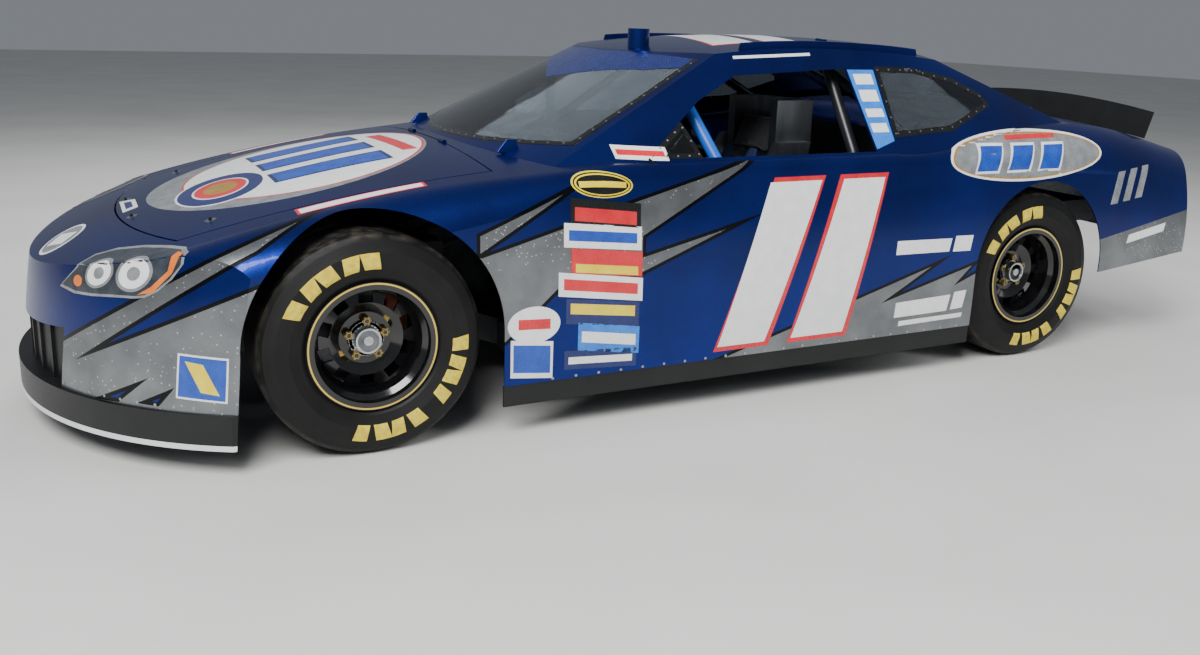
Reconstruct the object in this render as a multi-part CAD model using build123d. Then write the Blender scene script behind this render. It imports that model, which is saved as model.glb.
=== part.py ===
"""Full-bodied oval-track stock car: a steel tube chassis that carries a thin sheet-metal body.

Millimetres. The car stands on z = 0 with its nose towards -Y, its left side towards +X and +Z up.
The origin lies on the ground, midway along the car's length.
"""

import os
from math import asin, atan, cos, degrees, hypot, radians, sin, sqrt, tan

from build123d import *

os.makedirs("parts", exist_ok=True)

# Driving dimensions of the whole car
WHEELBASE = 2794.0
FRONT_AXLE_Y = -1467.0
REAR_AXLE_Y = FRONT_AXLE_Y + WHEELBASE
NOSE_Y = -2424.0
TAIL_Y = 2466.0
BODY_HALF_W = 921.0
SKIN = 5.0
SEAT_GAP = 0.3
LID_GAP = 6.0
FAR = 3000.0

# Wheels
TYRE_R = 352.0
TYRE_W = 296.0
TRACK_HALF = 755.0
RIM_R = 190.5
RIM_LIP_R = 205.0
RIM_W = 262.0
WHEEL_DISC_INSET = 118.0
HUB_BORE_R = 34.0
LUG_COUNT = 5
LUG_PCD_R = 60.0
WINDOW_COUNT = 10
WINDOW_R = 136.0
WINDOW_H = 36.0
WINDOW_W = 46.0

# Body seams, along the car
FENDER_DOOR_Y = -640.0
DOOR_QUARTER_Y = 560.0
SKIRT_TOP_Z = 180.0
SKIRT_BOTTOM_Z = 108.0
DAM_BOTTOM_Z = 89.0
DAM_TOP_Z = 200.0
HOOD_REAR_Y = -1022.0
HOOD_HALF_REAR = 706.0
HOOD_HALF_FRONT = 640.0
HOOD_FRONT_Y = -1990.0
HOOD_FRONT_MID_Y = -2130.0
DECK_FRONT_Y = 1866.0
DECK_REAR_Y = 2226.0
DECK_HALF_W = 600.0


def station(y):
    """Upright plane across the car at y, with x to the left side and z up."""
    return Plane(origin=(0, y, 0), x_dir=(1, 0, 0), z_dir=(0, -1, 0))


def box(x0, x1, y0, y1, z0, z1):
    """Block between two corners."""
    return Pos((x0 + x1) / 2, (y0 + y1) / 2, (z0 + z1) / 2) * Box(x1 - x0, y1 - y0, z1 - z0)


def plan_prism(curves, z0, z1):
    """Closed outline drawn in plan (x, y), raised from z0 to z1."""
    return Pos(0, 0, z0) * extrude(make_face(curves), amount=z1 - z0)


def side_prism(points, x0, x1):
    """Closed outline drawn in side view (y, z), carried from x0 to x1."""
    side = Plane(origin=(x0, 0, 0), x_dir=(0, 1, 0), z_dir=(1, 0, 0))
    return extrude(side * make_face(Polyline(*points, close=True)), amount=x1 - x0, dir=(1, 0, 0))


def bowed(p, q, rise):
    """Arc from p to q whose middle stands `rise` to the left of the line p-q."""
    dx, dy = q[0] - p[0], q[1] - p[1]
    run = hypot(dx, dy)
    mid = ((p[0] + q[0]) / 2 - dy / run * rise, (p[1] + q[1]) / 2 + dx / run * rise)
    return ThreePointArc(p, mid, q)


def both_sides(shape):
    """A left-side piece together with its mirror image."""
    return Compound(children=[*shape.solids(), *mirror(shape, about=Plane.YZ).solids()])


def pipe(points, r, bend=90.0, wall=0.0):
    """Round tube bent along straight runs, each corner with the same bend radius."""
    path = FilletPolyline(*points, radius=bend) if len(points) > 2 else Line(*points)
    profile = Circle(r) if not wall else Circle(r) - Circle(r - wall)
    return sweep(Plane(origin=path @ 0, z_dir=path % 0) * profile, path=path)


def write(name, shape):
    """Writes one sub-part to its own file."""
    solids = shape.solids()
    export_step(solids[0] if len(solids) == 1 else Compound(children=solids), f"parts/{name}.step")


# Cross-sections of the lower body, columns: y, x at the sill, x at mid height,
# x and z where the shoulder starts, x and z of the crest, z on the centreline
UNDER_Z = 40.0
FRONT_SECTIONS = (
    (-2530.0, 905.0, 912.0, 905.0, 240.0, 640.0, 400.0, 440.0),
    (-2300.0, 910.0, 915.0, 914.0, 430.0, 700.0, 552.0, 594.0),
    (-2000.0, 914.0, 920.0, 919.0, 560.0, 742.0, 662.0, 692.0),
    (-1500.0, 916.0, 923.0, 919.0, 660.0, 754.0, 780.0, 812.0),
    (-1000.0, 916.0, 924.0, 914.0, 745.0, 790.0, 848.0, 897.0),
    (FENDER_DOOR_Y, 916.0, 923.0, 901.0, 832.0, 862.0, 884.0, 925.0),
)
DOOR_SECTIONS = (
    (FENDER_DOOR_Y, 916.0, 923.0, 901.0, 832.0, 862.0, 884.0, 925.0),
    (-40.0, 916.0, 924.0, 901.0, 838.0, 868.0, 888.0, 940.0),
    (DOOR_QUARTER_Y, 916.0, 924.0, 901.0, 838.0, 866.0, 888.0, 950.0),
)
REAR_SECTIONS = (
    (DOOR_QUARTER_Y, 916.0, 924.0, 901.0, 838.0, 866.0, 888.0, 950.0),
    (1100.0, 916.0, 925.0, 908.0, 815.0, 835.0, 938.0, 985.0),
    (1600.0, 914.0, 924.0, 910.0, 780.0, 785.0, 976.0, 1003.0),
    (2050.0, 910.0, 920.0, 902.0, 740.0, 772.0, 905.0, 955.0),
    (2530.0, 900.0, 912.0, 890.0, 660.0, 740.0, 815.0, 862.0),
)
SIDE_MID = 0.55
SHOULDER_RISE = 0.16


def body_section(row, inset):
    """One closed cross-section of the lower body, shrunk by the skin's thickness."""
    y, x_sill, x_mid, x_roll, z_roll, x_crest, z_crest, z_mid = row
    sill = (x_sill - inset, UNDER_Z)
    side = (x_mid - inset, UNDER_Z + (z_roll - UNDER_Z) * SIDE_MID)
    roll = (x_roll - inset, z_roll - inset / 2)
    crest = (x_crest - inset / 2, z_crest - inset)
    rise = SHOULDER_RISE * hypot(roll[0] - crest[0], roll[1] - crest[1])
    left = lambda p: (-p[0], p[1])
    edges = [
        ThreePointArc(sill, side, roll),
        bowed(roll, crest, -rise),
        ThreePointArc(crest, (0, z_mid - inset), left(crest)),
        bowed(left(crest), left(roll), -rise),
        ThreePointArc(left(roll), left(side), left(sill)),
        Line(left(sill), sill),
    ]
    return station(y) * make_face(edges)


# Outline in plan that rounds the nose and the tail, columns:
# z, y of the nose on the centreline, y of the tail on the centreline
PLAN_LEVELS = (
    (30.0, -2450.0, 2404.0),
    (230.0, -2446.0, 2440.0),
    (420.0, NOSE_Y, TAIL_Y),
    (560.0, -2402.0, 2458.0),
    (740.0, -2350.0, 2410.0),
    (1080.0, -2240.0, 2154.0),
)
PLAN_HALF_W = 940.0
NOSE_PLAN_R = 1031.0
TAIL_BOW = 62.0
TAIL_CORNER = 245.0
CORNER_BOW = 0.29


def plan_outline(row, inset):
    """Closed plan of the body at one height: a round nose, straight sides, a bowed tail with corners."""
    z, nose, tail = row
    nose, tail = nose + inset, tail - inset
    w = PLAN_HALF_W - inset
    ear = nose + NOSE_PLAN_R - sqrt(NOSE_PLAN_R**2 - w**2)
    corner_y, edge_x = tail - TAIL_BOW - TAIL_CORNER, w - TAIL_CORNER
    edge_y = tail - TAIL_BOW
    edges = [
        ThreePointArc((w, ear), (0, nose), (-w, ear)),
        Line((-w, ear), (-w, corner_y)),
        bowed((-w, corner_y), (-edge_x, edge_y), TAIL_CORNER * CORNER_BOW),
        ThreePointArc((-edge_x, edge_y), (0, tail), (edge_x, edge_y)),
        bowed((edge_x, edge_y), (w, corner_y), TAIL_CORNER * CORNER_BOW),
        Line((w, corner_y), (w, ear)),
    ]
    return Pos(0, 0, z) * make_face(edges)


def lower_body(rows, inset):
    """Solid filling one stretch of the lower body, with its ends shaped in plan."""
    return loft([body_section(row, inset) for row in rows])


plan_outer = loft([plan_outline(row, 0.0) for row in PLAN_LEVELS])
plan_inner = loft([plan_outline(row, SKIN) for row in PLAN_LEVELS])
front_outer = lower_body(FRONT_SECTIONS, 0.0) & plan_outer
front_skin = front_outer - (lower_body(FRONT_SECTIONS, SKIN) & plan_inner)
rear_outer = lower_body(REAR_SECTIONS, 0.0) & plan_outer
rear_skin = rear_outer - (lower_body(REAR_SECTIONS, SKIN) & plan_inner)
door_outer = lower_body(DOOR_SECTIONS, 0.0)
door_skin = door_outer - lower_body(DOOR_SECTIONS, SKIN)

# Greenhouse: straight lines from a wide outline at the sill to a narrow one at roof height
SILL_Z = 887.0
RAIL_Z = 1262.0
GREENHOUSE_LOW = {"z": SILL_Z, "front": (756.0, -787.0), "front_mid": -1003.0, "side_front": (868.0, -470.0),
                  "side_mid": (873.0, 60.0), "side_rear": (866.0, 600.0), "rear": (815.0, 1780.0),
                  "rear_mid": 2141.0}
GREENHOUSE_HIGH = {"z": RAIL_Z, "front": (578.0, -59.0), "front_mid": -219.0, "side_front": (592.0, 60.0),
                   "side_mid": (600.0, 240.0), "side_rear": (602.0, 520.0), "rear": (596.0, 870.0),
                   "rear_mid": 1009.0}
GREENHOUSE_FOOT_Z = 868.0
GREENHOUSE_HEAD_Z = 1330.0
A_PILLAR_BOW = 10.0
C_PILLAR_BOW = 14.0


def greenhouse_outline(ring, inset):
    """Closed plan of the greenhouse: windscreen, shoulders, sides, quarters and rear glass."""
    fx, fy = ring["front"][0] - inset, ring["front"][1] + inset
    sf = (ring["side_front"][0] - inset, ring["side_front"][1])
    sm = (ring["side_mid"][0] - inset, ring["side_mid"][1])
    sr = (ring["side_rear"][0] - inset, ring["side_rear"][1])
    rx, ry = ring["rear"][0] - inset, ring["rear"][1] - inset
    flip = lambda p: (-p[0], p[1])
    edges = [
        ThreePointArc((fx, fy), (0, ring["front_mid"] + inset), (-fx, fy)),
        bowed((-fx, fy), flip(sf), A_PILLAR_BOW),
        ThreePointArc(flip(sf), flip(sm), flip(sr)),
        bowed(flip(sr), (-rx, ry), C_PILLAR_BOW),
        ThreePointArc((-rx, ry), (0, ring["rear_mid"] - inset), (rx, ry)),
        bowed((rx, ry), sr, C_PILLAR_BOW),
        ThreePointArc(sr, sm, sf),
        bowed(sf, (fx, fy), A_PILLAR_BOW),
    ]
    return Pos(0, 0, ring["z"]) * make_face(edges)


def spread(low, high, z):
    """The greenhouse outline carried up or down its own straight lines to height z."""
    t = (z - low["z"]) / (high["z"] - low["z"])
    mix = lambda a, b: a + (b - a) * t
    ring = {"z": z}
    for key, value in low.items():
        if key == "z":
            continue
        other = high[key]
        ring[key] = mix(value, other) if isinstance(value, float) else tuple(map(mix, value, other))
    return ring


# Roof crown across the car, columns: y, z over the side rails, z on the centreline
ROOF_HALF_W = 900.0
ROOF_SECTIONS = (
    (-420.0, 1090.0, 1196.0),
    (-60.0, 1212.0, 1272.0),
    (420.0, 1221.0, 1301.0),
    (900.0, 1176.0, 1288.0),
    (1320.0, 1029.0, 1226.0),
)
CROWN_FOOT_Z = 950.0


def roof_section(row, inset):
    """Closed section whose top is the roof's crown."""
    y, z_rail, z_mid = row
    edges = [
        ThreePointArc((ROOF_HALF_W, z_rail - inset), (0, z_mid - inset), (-ROOF_HALF_W, z_rail - inset)),
        Line((-ROOF_HALF_W, z_rail - inset), (-ROOF_HALF_W, CROWN_FOOT_Z)),
        Line((-ROOF_HALF_W, CROWN_FOOT_Z), (ROOF_HALF_W, CROWN_FOOT_Z)),
        Line((ROOF_HALF_W, CROWN_FOOT_Z), (ROOF_HALF_W, z_rail - inset)),
    ]
    return station(y) * make_face(edges)


def greenhouse(inset, foot_z=GREENHOUSE_FOOT_Z):
    """Solid greenhouse: the leaning walls below the crowned roof."""
    foot = spread(GREENHOUSE_LOW, GREENHOUSE_HIGH, foot_z)
    head = spread(GREENHOUSE_LOW, GREENHOUSE_HIGH, GREENHOUSE_HEAD_Z)
    walls = loft([greenhouse_outline(foot, inset), greenhouse_outline(head, inset)], ruled=True)
    crown = loft([roof_section(row, inset) for row in ROOF_SECTIONS])
    above = box(-ROOF_HALF_W, ROOF_HALF_W, -FAR, FAR, CROWN_FOOT_Z, FAR)
    outside = above - box(-FAR, FAR, ROOF_SECTIONS[0][0], ROOF_SECTIONS[-1][0], 0, FAR)
    return walls - (walls & above - crown - outside)


greenhouse_outer = greenhouse(0.0)
greenhouse_skin = greenhouse_outer - greenhouse(SKIN)
LEDGE = 32.0
HOLE_FOOT_Z = 835.0
cabin_hole = greenhouse(LEDGE, HOLE_FOOT_Z)


# Wheel openings in the body, and the lower edge of each panel
FRONT_ARCH_R = 407.0
FRONT_ARCH = (FRONT_AXLE_Y + 8.0, 367.0)
REAR_ARCH_R = 365.0
REAR_ARCH = (REAR_AXLE_Y + 18.0, 392.0)
VALANCE_LEAN = 28.0
TAIL_EDGE = ((1690.0, 343.0), (2240.0, 396.0))


def arch(centre, r, lean):
    """Wheel opening: a round top over straight sides that reach below the body."""
    y, z = centre
    rim = Pos(0, y, z) * Rot(0, 90, 0) * Cylinder(r, 2 * FAR)
    legs = side_prism([(y - r, z), (y + r, z), (y + r, 0), (y - r - lean, 0)], -FAR, FAR)
    return rim + legs


front_arch = arch(FRONT_ARCH, FRONT_ARCH_R, VALANCE_LEAN)
rear_arch = arch(REAR_ARCH, REAR_ARCH_R, 0.0)
below_skirt = box(-FAR, FAR, -FAR, FAR, 0, SKIRT_TOP_Z)
below_dam = box(-FAR, FAR, -FAR, FRONT_ARCH[0], 0, DAM_TOP_Z)
(tail_y0, tail_z0), (tail_y1, tail_z1) = TAIL_EDGE
tail_slope = (tail_z1 - tail_z0) / (tail_y1 - tail_y0)
tail_end_z = tail_z1 + 0.3 * tail_slope * (FAR - tail_y1)
below_tail = side_prism([(tail_y0, 0), (tail_y0, tail_z0), (tail_y1, tail_z1), (FAR, tail_end_z), (FAR, 0)],
                        -FAR, FAR)
front_open = front_skin - front_arch - below_dam - below_skirt - cabin_hole
rear_open = rear_skin - rear_arch - below_skirt - below_tail - cabin_hole
door_open = door_skin - below_skirt - cabin_hole

# Hood, nose cover, fenders and cowl share the front skin
HOOD_CUT_Z = (450.0, 1000.0)


def hood_plan(grow):
    """The hood's outline in plan, grown by the gap round it."""
    hf, hr = HOOD_HALF_FRONT + grow, HOOD_HALF_REAR + grow
    yf, ym, yr = HOOD_FRONT_Y - grow, HOOD_FRONT_MID_Y - grow, HOOD_REAR_Y + grow
    return plan_prism([ThreePointArc((hf, yf), (0, ym), (-hf, yf)), Line((-hf, yf), (-hr, yr)),
                       Line((-hr, yr), (hr, yr)), Line((hr, yr), (hf, yf))], *HOOD_CUT_Z)


NOSE_SEAM_Y = -1830.0
NOSE_SEAM_X = 1000.0
ABOVE_DECK_Z = 1200.0
hood_tip = ThreePointArc((HOOD_HALF_FRONT, HOOD_FRONT_Y), (0, HOOD_FRONT_MID_Y),
                         (-HOOD_HALF_FRONT, HOOD_FRONT_Y))
nose_sides = Polyline((-HOOD_HALF_FRONT, HOOD_FRONT_Y), (-NOSE_SEAM_X, NOSE_SEAM_Y), (-NOSE_SEAM_X, -FAR),
                      (NOSE_SEAM_X, -FAR), (NOSE_SEAM_X, NOSE_SEAM_Y), (HOOD_HALF_FRONT, HOOD_FRONT_Y))
BOX_FOOT_Z = 600.0
nose_region = plan_prism([hood_tip, *nose_sides.edges()], 0, ABOVE_DECK_Z)
hood = front_open & hood_plan(0.0)
hood_gap = hood_plan(LID_GAP)
fender_cowl = front_open - hood_gap - nose_region
cowl_region = box(-HOOD_HALF_REAR, HOOD_HALF_REAR, HOOD_REAR_Y, FENDER_DOOR_Y, BOX_FOOT_Z, ABOVE_DECK_Z)
cowl_panel = fender_cowl & cowl_region
front_fenders = fender_cowl - cowl_region
nose_cover = (front_open & nose_region) - hood_gap

# Grille opening through the nose, with the ribbed screen behind it, and the air dam below them
GRILLE_HALF_W = 468.0
GRILLE_SIDE_Z = 388.0
GRILLE_MID_Z = 352.0
SCREEN_Y = -2414.0
SCREEN_PLATE = 6.0
SCREEN_LAP = 14.0
RIB_COUNT = 10
RIB_W = 16.0
RIB_D = 18.0
RIB_MID_Z = 315.0
RIB_L = 300.0
SCREEN_HEAD_Z = 430.0
GRILLE_CUT_Y = (-2550.0, -2150.0)
DAM_THICK = 10.0
DAM_Y = -2466.0
DAM_LEDGE = 62.0


def grille_prism(shrink, bottom):
    """The grille opening's outline, carried back through the nose."""
    w, side, mid = GRILLE_HALF_W - shrink, GRILLE_SIDE_Z - shrink, GRILLE_MID_Z - shrink
    face = make_face([Line((-w, bottom), (w, bottom)), Line((w, bottom), (w, side)),
                      ThreePointArc((w, side), (0, mid), (-w, side)), Line((-w, side), (-w, bottom))])
    return extrude(station(GRILLE_CUT_Y[1]) * face, amount=GRILLE_CUT_Y[1] - GRILLE_CUT_Y[0])


def nose_band(out_y, thickness, z0, z1):
    """Upright band that follows the nose's plan curve, with its front at out_y on the centreline."""
    centre = (0, out_y + NOSE_PLAN_R, (z0 + z1) / 2)
    band = Cylinder(NOSE_PLAN_R, z1 - z0) - Cylinder(NOSE_PLAN_R - thickness, z1 - z0)
    return (Pos(*centre) * band) & box(-FAR, FAR, -FAR, NOSE_SEAM_Y, z0, z1)


nose_cover = nose_cover - grille_prism(0.0, DAM_BOTTOM_Z)
screen_band = nose_band(SCREEN_Y, SCREEN_PLATE, DAM_TOP_Z, SCREEN_HEAD_Z)
grille_screen = screen_band & grille_prism(-SCREEN_LAP, DAM_TOP_Z)
rib_outline = grille_prism(SEAT_GAP, DAM_TOP_Z)
rib_arc = asin((GRILLE_HALF_W - RIB_W) / NOSE_PLAN_R)
for i in range(RIB_COUNT):
    turn = -rib_arc + 2 * rib_arc * i / (RIB_COUNT - 1)
    x, y = NOSE_PLAN_R * sin(turn), SCREEN_Y + NOSE_PLAN_R * (1 - cos(turn))
    rib = Pos(x, y, RIB_MID_Z) * Rot(0, 0, degrees(turn)) * Box(RIB_W, RIB_D, RIB_L)
    grille_screen += rib & rib_outline
grille_screen = grille_screen - nose_cover

air_dam = nose_band(DAM_Y, DAM_THICK, DAM_BOTTOM_Z, DAM_TOP_Z)
air_dam += nose_band(DAM_Y, DAM_LEDGE, DAM_TOP_Z - DAM_THICK, DAM_TOP_Z)
air_dam = air_dam & box(-BODY_HALF_W, BODY_HALF_W, -FAR, FAR, 0, FAR)
air_dam = air_dam - front_arch

# Deck lid, tail cover and quarters share the rear skin
DECK_CUT_Z = (800.0, 1100.0)
TAIL_SEAM_Y = DECK_REAR_Y + LID_GAP
TAIL_SEAM_LOW = (1985.0, 560.0)


def deck_box(grow):
    """The deck lid's outline, grown by the gap round it."""
    return box(-DECK_HALF_W - grow, DECK_HALF_W + grow, DECK_FRONT_Y - grow, DECK_REAR_Y + grow, *DECK_CUT_Z)


deck_lid = rear_open & deck_box(0.0)
deck_gap = deck_box(LID_GAP)
tail_region = side_prism([(TAIL_SEAM_Y, ABOVE_DECK_Z), (TAIL_SEAM_Y, DECK_CUT_Z[0]), TAIL_SEAM_LOW,
                          (TAIL_SEAM_LOW[0], 0), (FAR, 0), (FAR, ABOVE_DECK_Z)], -FAR, FAR)
tail_cover = (rear_open & tail_region) - deck_gap
quarters = rear_open - tail_region - deck_gap

# Glass openings
WINDSHIELD_LOW = ((704.0, -722.0), (0.0, -958.0))
WINDSHIELD_HIGH = ((574.0, -172.0), (0.0, -286.0))
BACKLIGHT_HIGH = ((545.0, 905.0), (0.0, 1030.0))
BACKLIGHT_LOW = ((672.0, 1500.0), (0.0, 1728.0))
DOOR_WINDOW = ((-512.0, 897.0), (-244.0, 1080.0), (-60.0, 1166.0), (455.0, 1194.0), (468.0, 897.0))
QUARTER_WINDOW = ((584.0, 944.0), (600.0, 1204.0), (790.0, 1200.0), (985.0, 1162.0), (1120.0, 1100.0),
                  (1146.0, 1052.0), (890.0, 962.0))
GLASS_CUT_Z = (860.0, 1400.0)


def glass_prism(low, high):
    """Plan outline of the front or rear glass, from its lower edge to its upper edge."""
    (lx, ly), (_, lm) = low
    (hx, hy), (_, hm) = high
    return plan_prism([ThreePointArc((lx, ly), (0, lm), (-lx, ly)), Line((-lx, ly), (-hx, hy)),
                       ThreePointArc((-hx, hy), (0, hm), (hx, hy)), Line((hx, hy), (lx, ly))], *GLASS_CUT_Z)


body_solid = front_outer + door_outer + rear_outer
greenhouse_open = greenhouse_skin - body_solid
windshield_cut = glass_prism(WINDSHIELD_LOW, WINDSHIELD_HIGH)
backlight_cut = glass_prism(BACKLIGHT_LOW, BACKLIGHT_HIGH)
quarter_cut = side_prism(QUARTER_WINDOW, -FAR, FAR)
door_cut = side_prism(DOOR_WINDOW, -FAR, FAR)
windshield = greenhouse_open & windshield_cut
rear_window = greenhouse_open & backlight_cut
quarter_windows = greenhouse_open & quarter_cut
VENT_PANEL = ((-600.0, 897.0), (-300.0, 897.0), (-372.0, 1100.0))
vent_windows = greenhouse_open & door_cut & side_prism(VENT_PANEL, -FAR, FAR)

# Roof flaps, each in its own cut-out behind the roof's crown
FLAP_Y = (610.0, 800.0)
FLAP_X = (70.0, 520.0)
ROOF_CUT_Z = (1100.0, 1400.0)
roof_shell = greenhouse_open - windshield_cut - backlight_cut - quarter_cut - door_cut
flaps = []
for side in (1, -1):
    x0, x1 = sorted((side * FLAP_X[0], side * FLAP_X[1]))
    flap = box(x0, x1, *FLAP_Y, *ROOF_CUT_Z)
    flaps.append(roof_shell & flap)
    roof_shell -= box(x0 - LID_GAP, x1 + LID_GAP, FLAP_Y[0] - LID_GAP, FLAP_Y[1] + LID_GAP, *ROOF_CUT_Z)

# Hinges: a knuckle on the leaf turns on a pin held by two knuckles on the carrier
HINGE_R = 8.0
PIN_R = 3.0
KNUCKLE_L = 30.0
END_L = 14.0
HINGE_FIT = 0.3
END_GAP = 0.5
NOTCH_ROOM = 1.5
NOTCH_SIDE = 1.0
NOTCH_H = 40.0
HINGE_RISE = 3.0


def top_z(solid, x, y):
    """Height of a solid's upper surface above one point of the plan."""
    cut = solid & Line((x, y, 0), (x, y, 2 * RAIL_Z))
    return cut.bounding_box().max.Z


def barrel(r, length):
    """Round bar along X, for the knuckles and pins of a hinge."""
    return Rot(0, 90, 0) * Cylinder(r, length)


def hinged(leaf, carrier, place):
    """One three-knuckle hinge along X at a place, with the leaf and the carrier notched round it."""
    deep = 2 * (HINGE_R + NOTCH_ROOM)
    end_x = KNUCKLE_L / 2 + END_GAP + END_L / 2
    for x in (-end_x, end_x):
        leaf = leaf - place * (Pos(x, 0, 0) * Box(END_L + 2 * NOTCH_SIDE, deep, NOTCH_H))
    leaf = leaf + place * barrel(HINGE_R, KNUCKLE_L)
    leaf = leaf - place * barrel(PIN_R + HINGE_FIT, KNUCKLE_L + 2 * END_GAP)
    carrier = carrier - place * Box(KNUCKLE_L + 2 * END_GAP, deep, NOTCH_H)
    for x in (-end_x, end_x):
        carrier += place * (Pos(x, 0, 0) * barrel(HINGE_R, END_L))
    return leaf, carrier + place * barrel(PIN_R, 2 * end_x)


HOOD_HINGE_X = 190.0
DECK_HINGE_X = 260.0
FLAP_HINGE_X = 295.0
SLOPE_SPAN = 40.0
hood_hinge_y = HOOD_REAR_Y + LID_GAP / 2
hood_hinge_z = top_z(front_outer, HOOD_HINGE_X, hood_hinge_y) + HINGE_RISE
deck_hinge_y = DECK_FRONT_Y - LID_GAP / 2
deck_hinge_z = top_z(rear_outer, DECK_HINGE_X, deck_hinge_y) + HINGE_RISE
flap_hinge_y = FLAP_Y[0] - LID_GAP / 2
flap_hinge_z = top_z(greenhouse_outer, FLAP_HINGE_X, flap_hinge_y)
flap_fall = (top_z(greenhouse_outer, FLAP_HINGE_X - SLOPE_SPAN, flap_hinge_y)
             - top_z(greenhouse_outer, FLAP_HINGE_X + SLOPE_SPAN, flap_hinge_y))
flap_lean = degrees(atan(flap_fall / (2 * SLOPE_SPAN)))
for k, side in enumerate((1, -1)):
    hood, cowl_panel = hinged(hood, cowl_panel, Pos(side * HOOD_HINGE_X, hood_hinge_y, hood_hinge_z))
    deck_lid, quarters = hinged(deck_lid, quarters, Pos(side * DECK_HINGE_X, deck_hinge_y, deck_hinge_z))
    flap_place = Pos(side * FLAP_HINGE_X, flap_hinge_y, flap_hinge_z) * Rot(0, side * flap_lean, 0)
    flaps[k], roof_shell = hinged(flaps[k], roof_shell, flap_place)

# Rails along the roof's edges that spoil the air when the car slides sideways
STRIP_X = 566.0
STRIP_T = 8.0
STRIP_H = 24.0
STRIP_Y = (-30.0, 930.0)
STRIP_RAKE = 90.0
low_z, high_z = ROOF_CUT_Z
strip_side = [(STRIP_Y[0], low_z), (STRIP_Y[0] + STRIP_RAKE, high_z), (STRIP_Y[1] - STRIP_RAKE, high_z),
              (STRIP_Y[1], low_z)]
strip_slab = side_prism(strip_side, STRIP_X - STRIP_T / 2, STRIP_X + STRIP_T / 2)
strip = (strip_slab & (Pos(0, 0, STRIP_H) * greenhouse_outer)) - greenhouse_outer
roof_shell = roof_shell + strip + mirror(strip, about=Plane.YZ)

# Side skirts
SKIRT_X = 918.0
SKIRT_THICK = 8.0
skirt = box(SKIRT_X - SKIRT_THICK, SKIRT_X, FRONT_ARCH[0] + FRONT_ARCH_R, REAR_ARCH[0] - REAR_ARCH_R,
            SKIRT_BOTTOM_Z, SKIRT_TOP_Z)
side_skirts = both_sides(skirt)

# Chassis: main rails under the doors, raised rails front and rear
RAIL_W = 76.0
RAIL_H = 100.0
MAIN_RAIL_X = 700.0
MAIN_RAIL_Z = 150.0
FRONT_RAIL_X = 372.0
REAR_RAIL_X = 430.0
FRONT_RAIL_Z = 232.0
REAR_RAIL_Z = 470.0
MAIN_RAIL_Y = (-880.0, 860.0)
FRONT_RAIL_Y = (-2280.0, -1080.0)
REAR_RAIL_Y = (1100.0, 2200.0)
AXLE_MEMBER_Y = 1560.0
RAIL_FOOT = 20.0
KICK_UP_Y = (MAIN_RAIL_Y[1] - 60.0, MAIN_RAIL_Y[1] + 40.0)


def rail(points, x):
    """Box-section rail whose side view follows the points along its underside."""
    outline = list(points) + [(y, z + RAIL_H) for y, z in reversed(points)]
    return side_prism(outline, x - RAIL_W / 2, x + RAIL_W / 2)


my0, my1 = MAIN_RAIL_Y
main_rail = rail([(my0, MAIN_RAIL_Z), (my1, MAIN_RAIL_Z)], MAIN_RAIL_X)
fy0, fy1 = FRONT_RAIL_Y
ry0, ry1 = REAR_RAIL_Y
front_rail = rail([(fy0, FRONT_RAIL_Z), (fy1, FRONT_RAIL_Z), (my0 + RAIL_FOOT, MAIN_RAIL_Z)], FRONT_RAIL_X)
front_rail += box(FRONT_RAIL_X - RAIL_W / 2, FRONT_RAIL_X + RAIL_W / 2, my0, my0 + RAIL_W, MAIN_RAIL_Z,
                  MAIN_RAIL_Z + RAIL_H)
rear_rail = rail([(KICK_UP_Y[0], MAIN_RAIL_Z), (KICK_UP_Y[1], MAIN_RAIL_Z), (ry0, REAR_RAIL_Z),
                  (ry1, REAR_RAIL_Z)], REAR_RAIL_X)
half = main_rail + front_rail + rear_rail
frame_rails = half + mirror(half, about=Plane.YZ)

# Cross members, columns: y of the front face, half length, z of the underside
CROSS_MEMBERS = (
    (my0, MAIN_RAIL_X, MAIN_RAIL_Z),
    (my1 - RAIL_W, MAIN_RAIL_X, MAIN_RAIL_Z),
    (fy0, FRONT_RAIL_X, FRONT_RAIL_Z),
    (ry1 - RAIL_W, REAR_RAIL_X, REAR_RAIL_Z),
    (AXLE_MEMBER_Y, REAR_RAIL_X, REAR_RAIL_Z),
)
for y, x, z in CROSS_MEMBERS:
    frame_rails += box(-x, x, y, y + RAIL_W, z, z + RAIL_H)

JACK_PAD_L = 110.0
JACK_PAD_W = 70.0
JACK_PAD_H = 12.0
for x in (-MAIN_RAIL_X, MAIN_RAIL_X):
    frame_rails += box(x - JACK_PAD_W / 2, x + JACK_PAD_W / 2, -JACK_PAD_L / 2, JACK_PAD_L / 2,
                       MAIN_RAIL_Z - JACK_PAD_H, MAIN_RAIL_Z)

OUTRIGGER_Y = (-600.0, 0.0, 560.0)
OUTRIGGER_W = 30.0
OUTRIGGER_Z = (MAIN_RAIL_Z + 10.0, MAIN_RAIL_Z + 28.0)
WELD_LAP = 5.0
for y in OUTRIGGER_Y:
    for side in (1, -1):
        x_rail, x_skirt = MAIN_RAIL_X + RAIL_W / 2 - WELD_LAP, SKIRT_X - SKIRT_THICK - SEAT_GAP
        x0, x1 = sorted((side * x_rail, side * x_skirt))
        frame_rails += box(x0, x1, y - OUTRIGGER_W / 2, y + OUTRIGGER_W / 2, *OUTRIGGER_Z)

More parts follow.
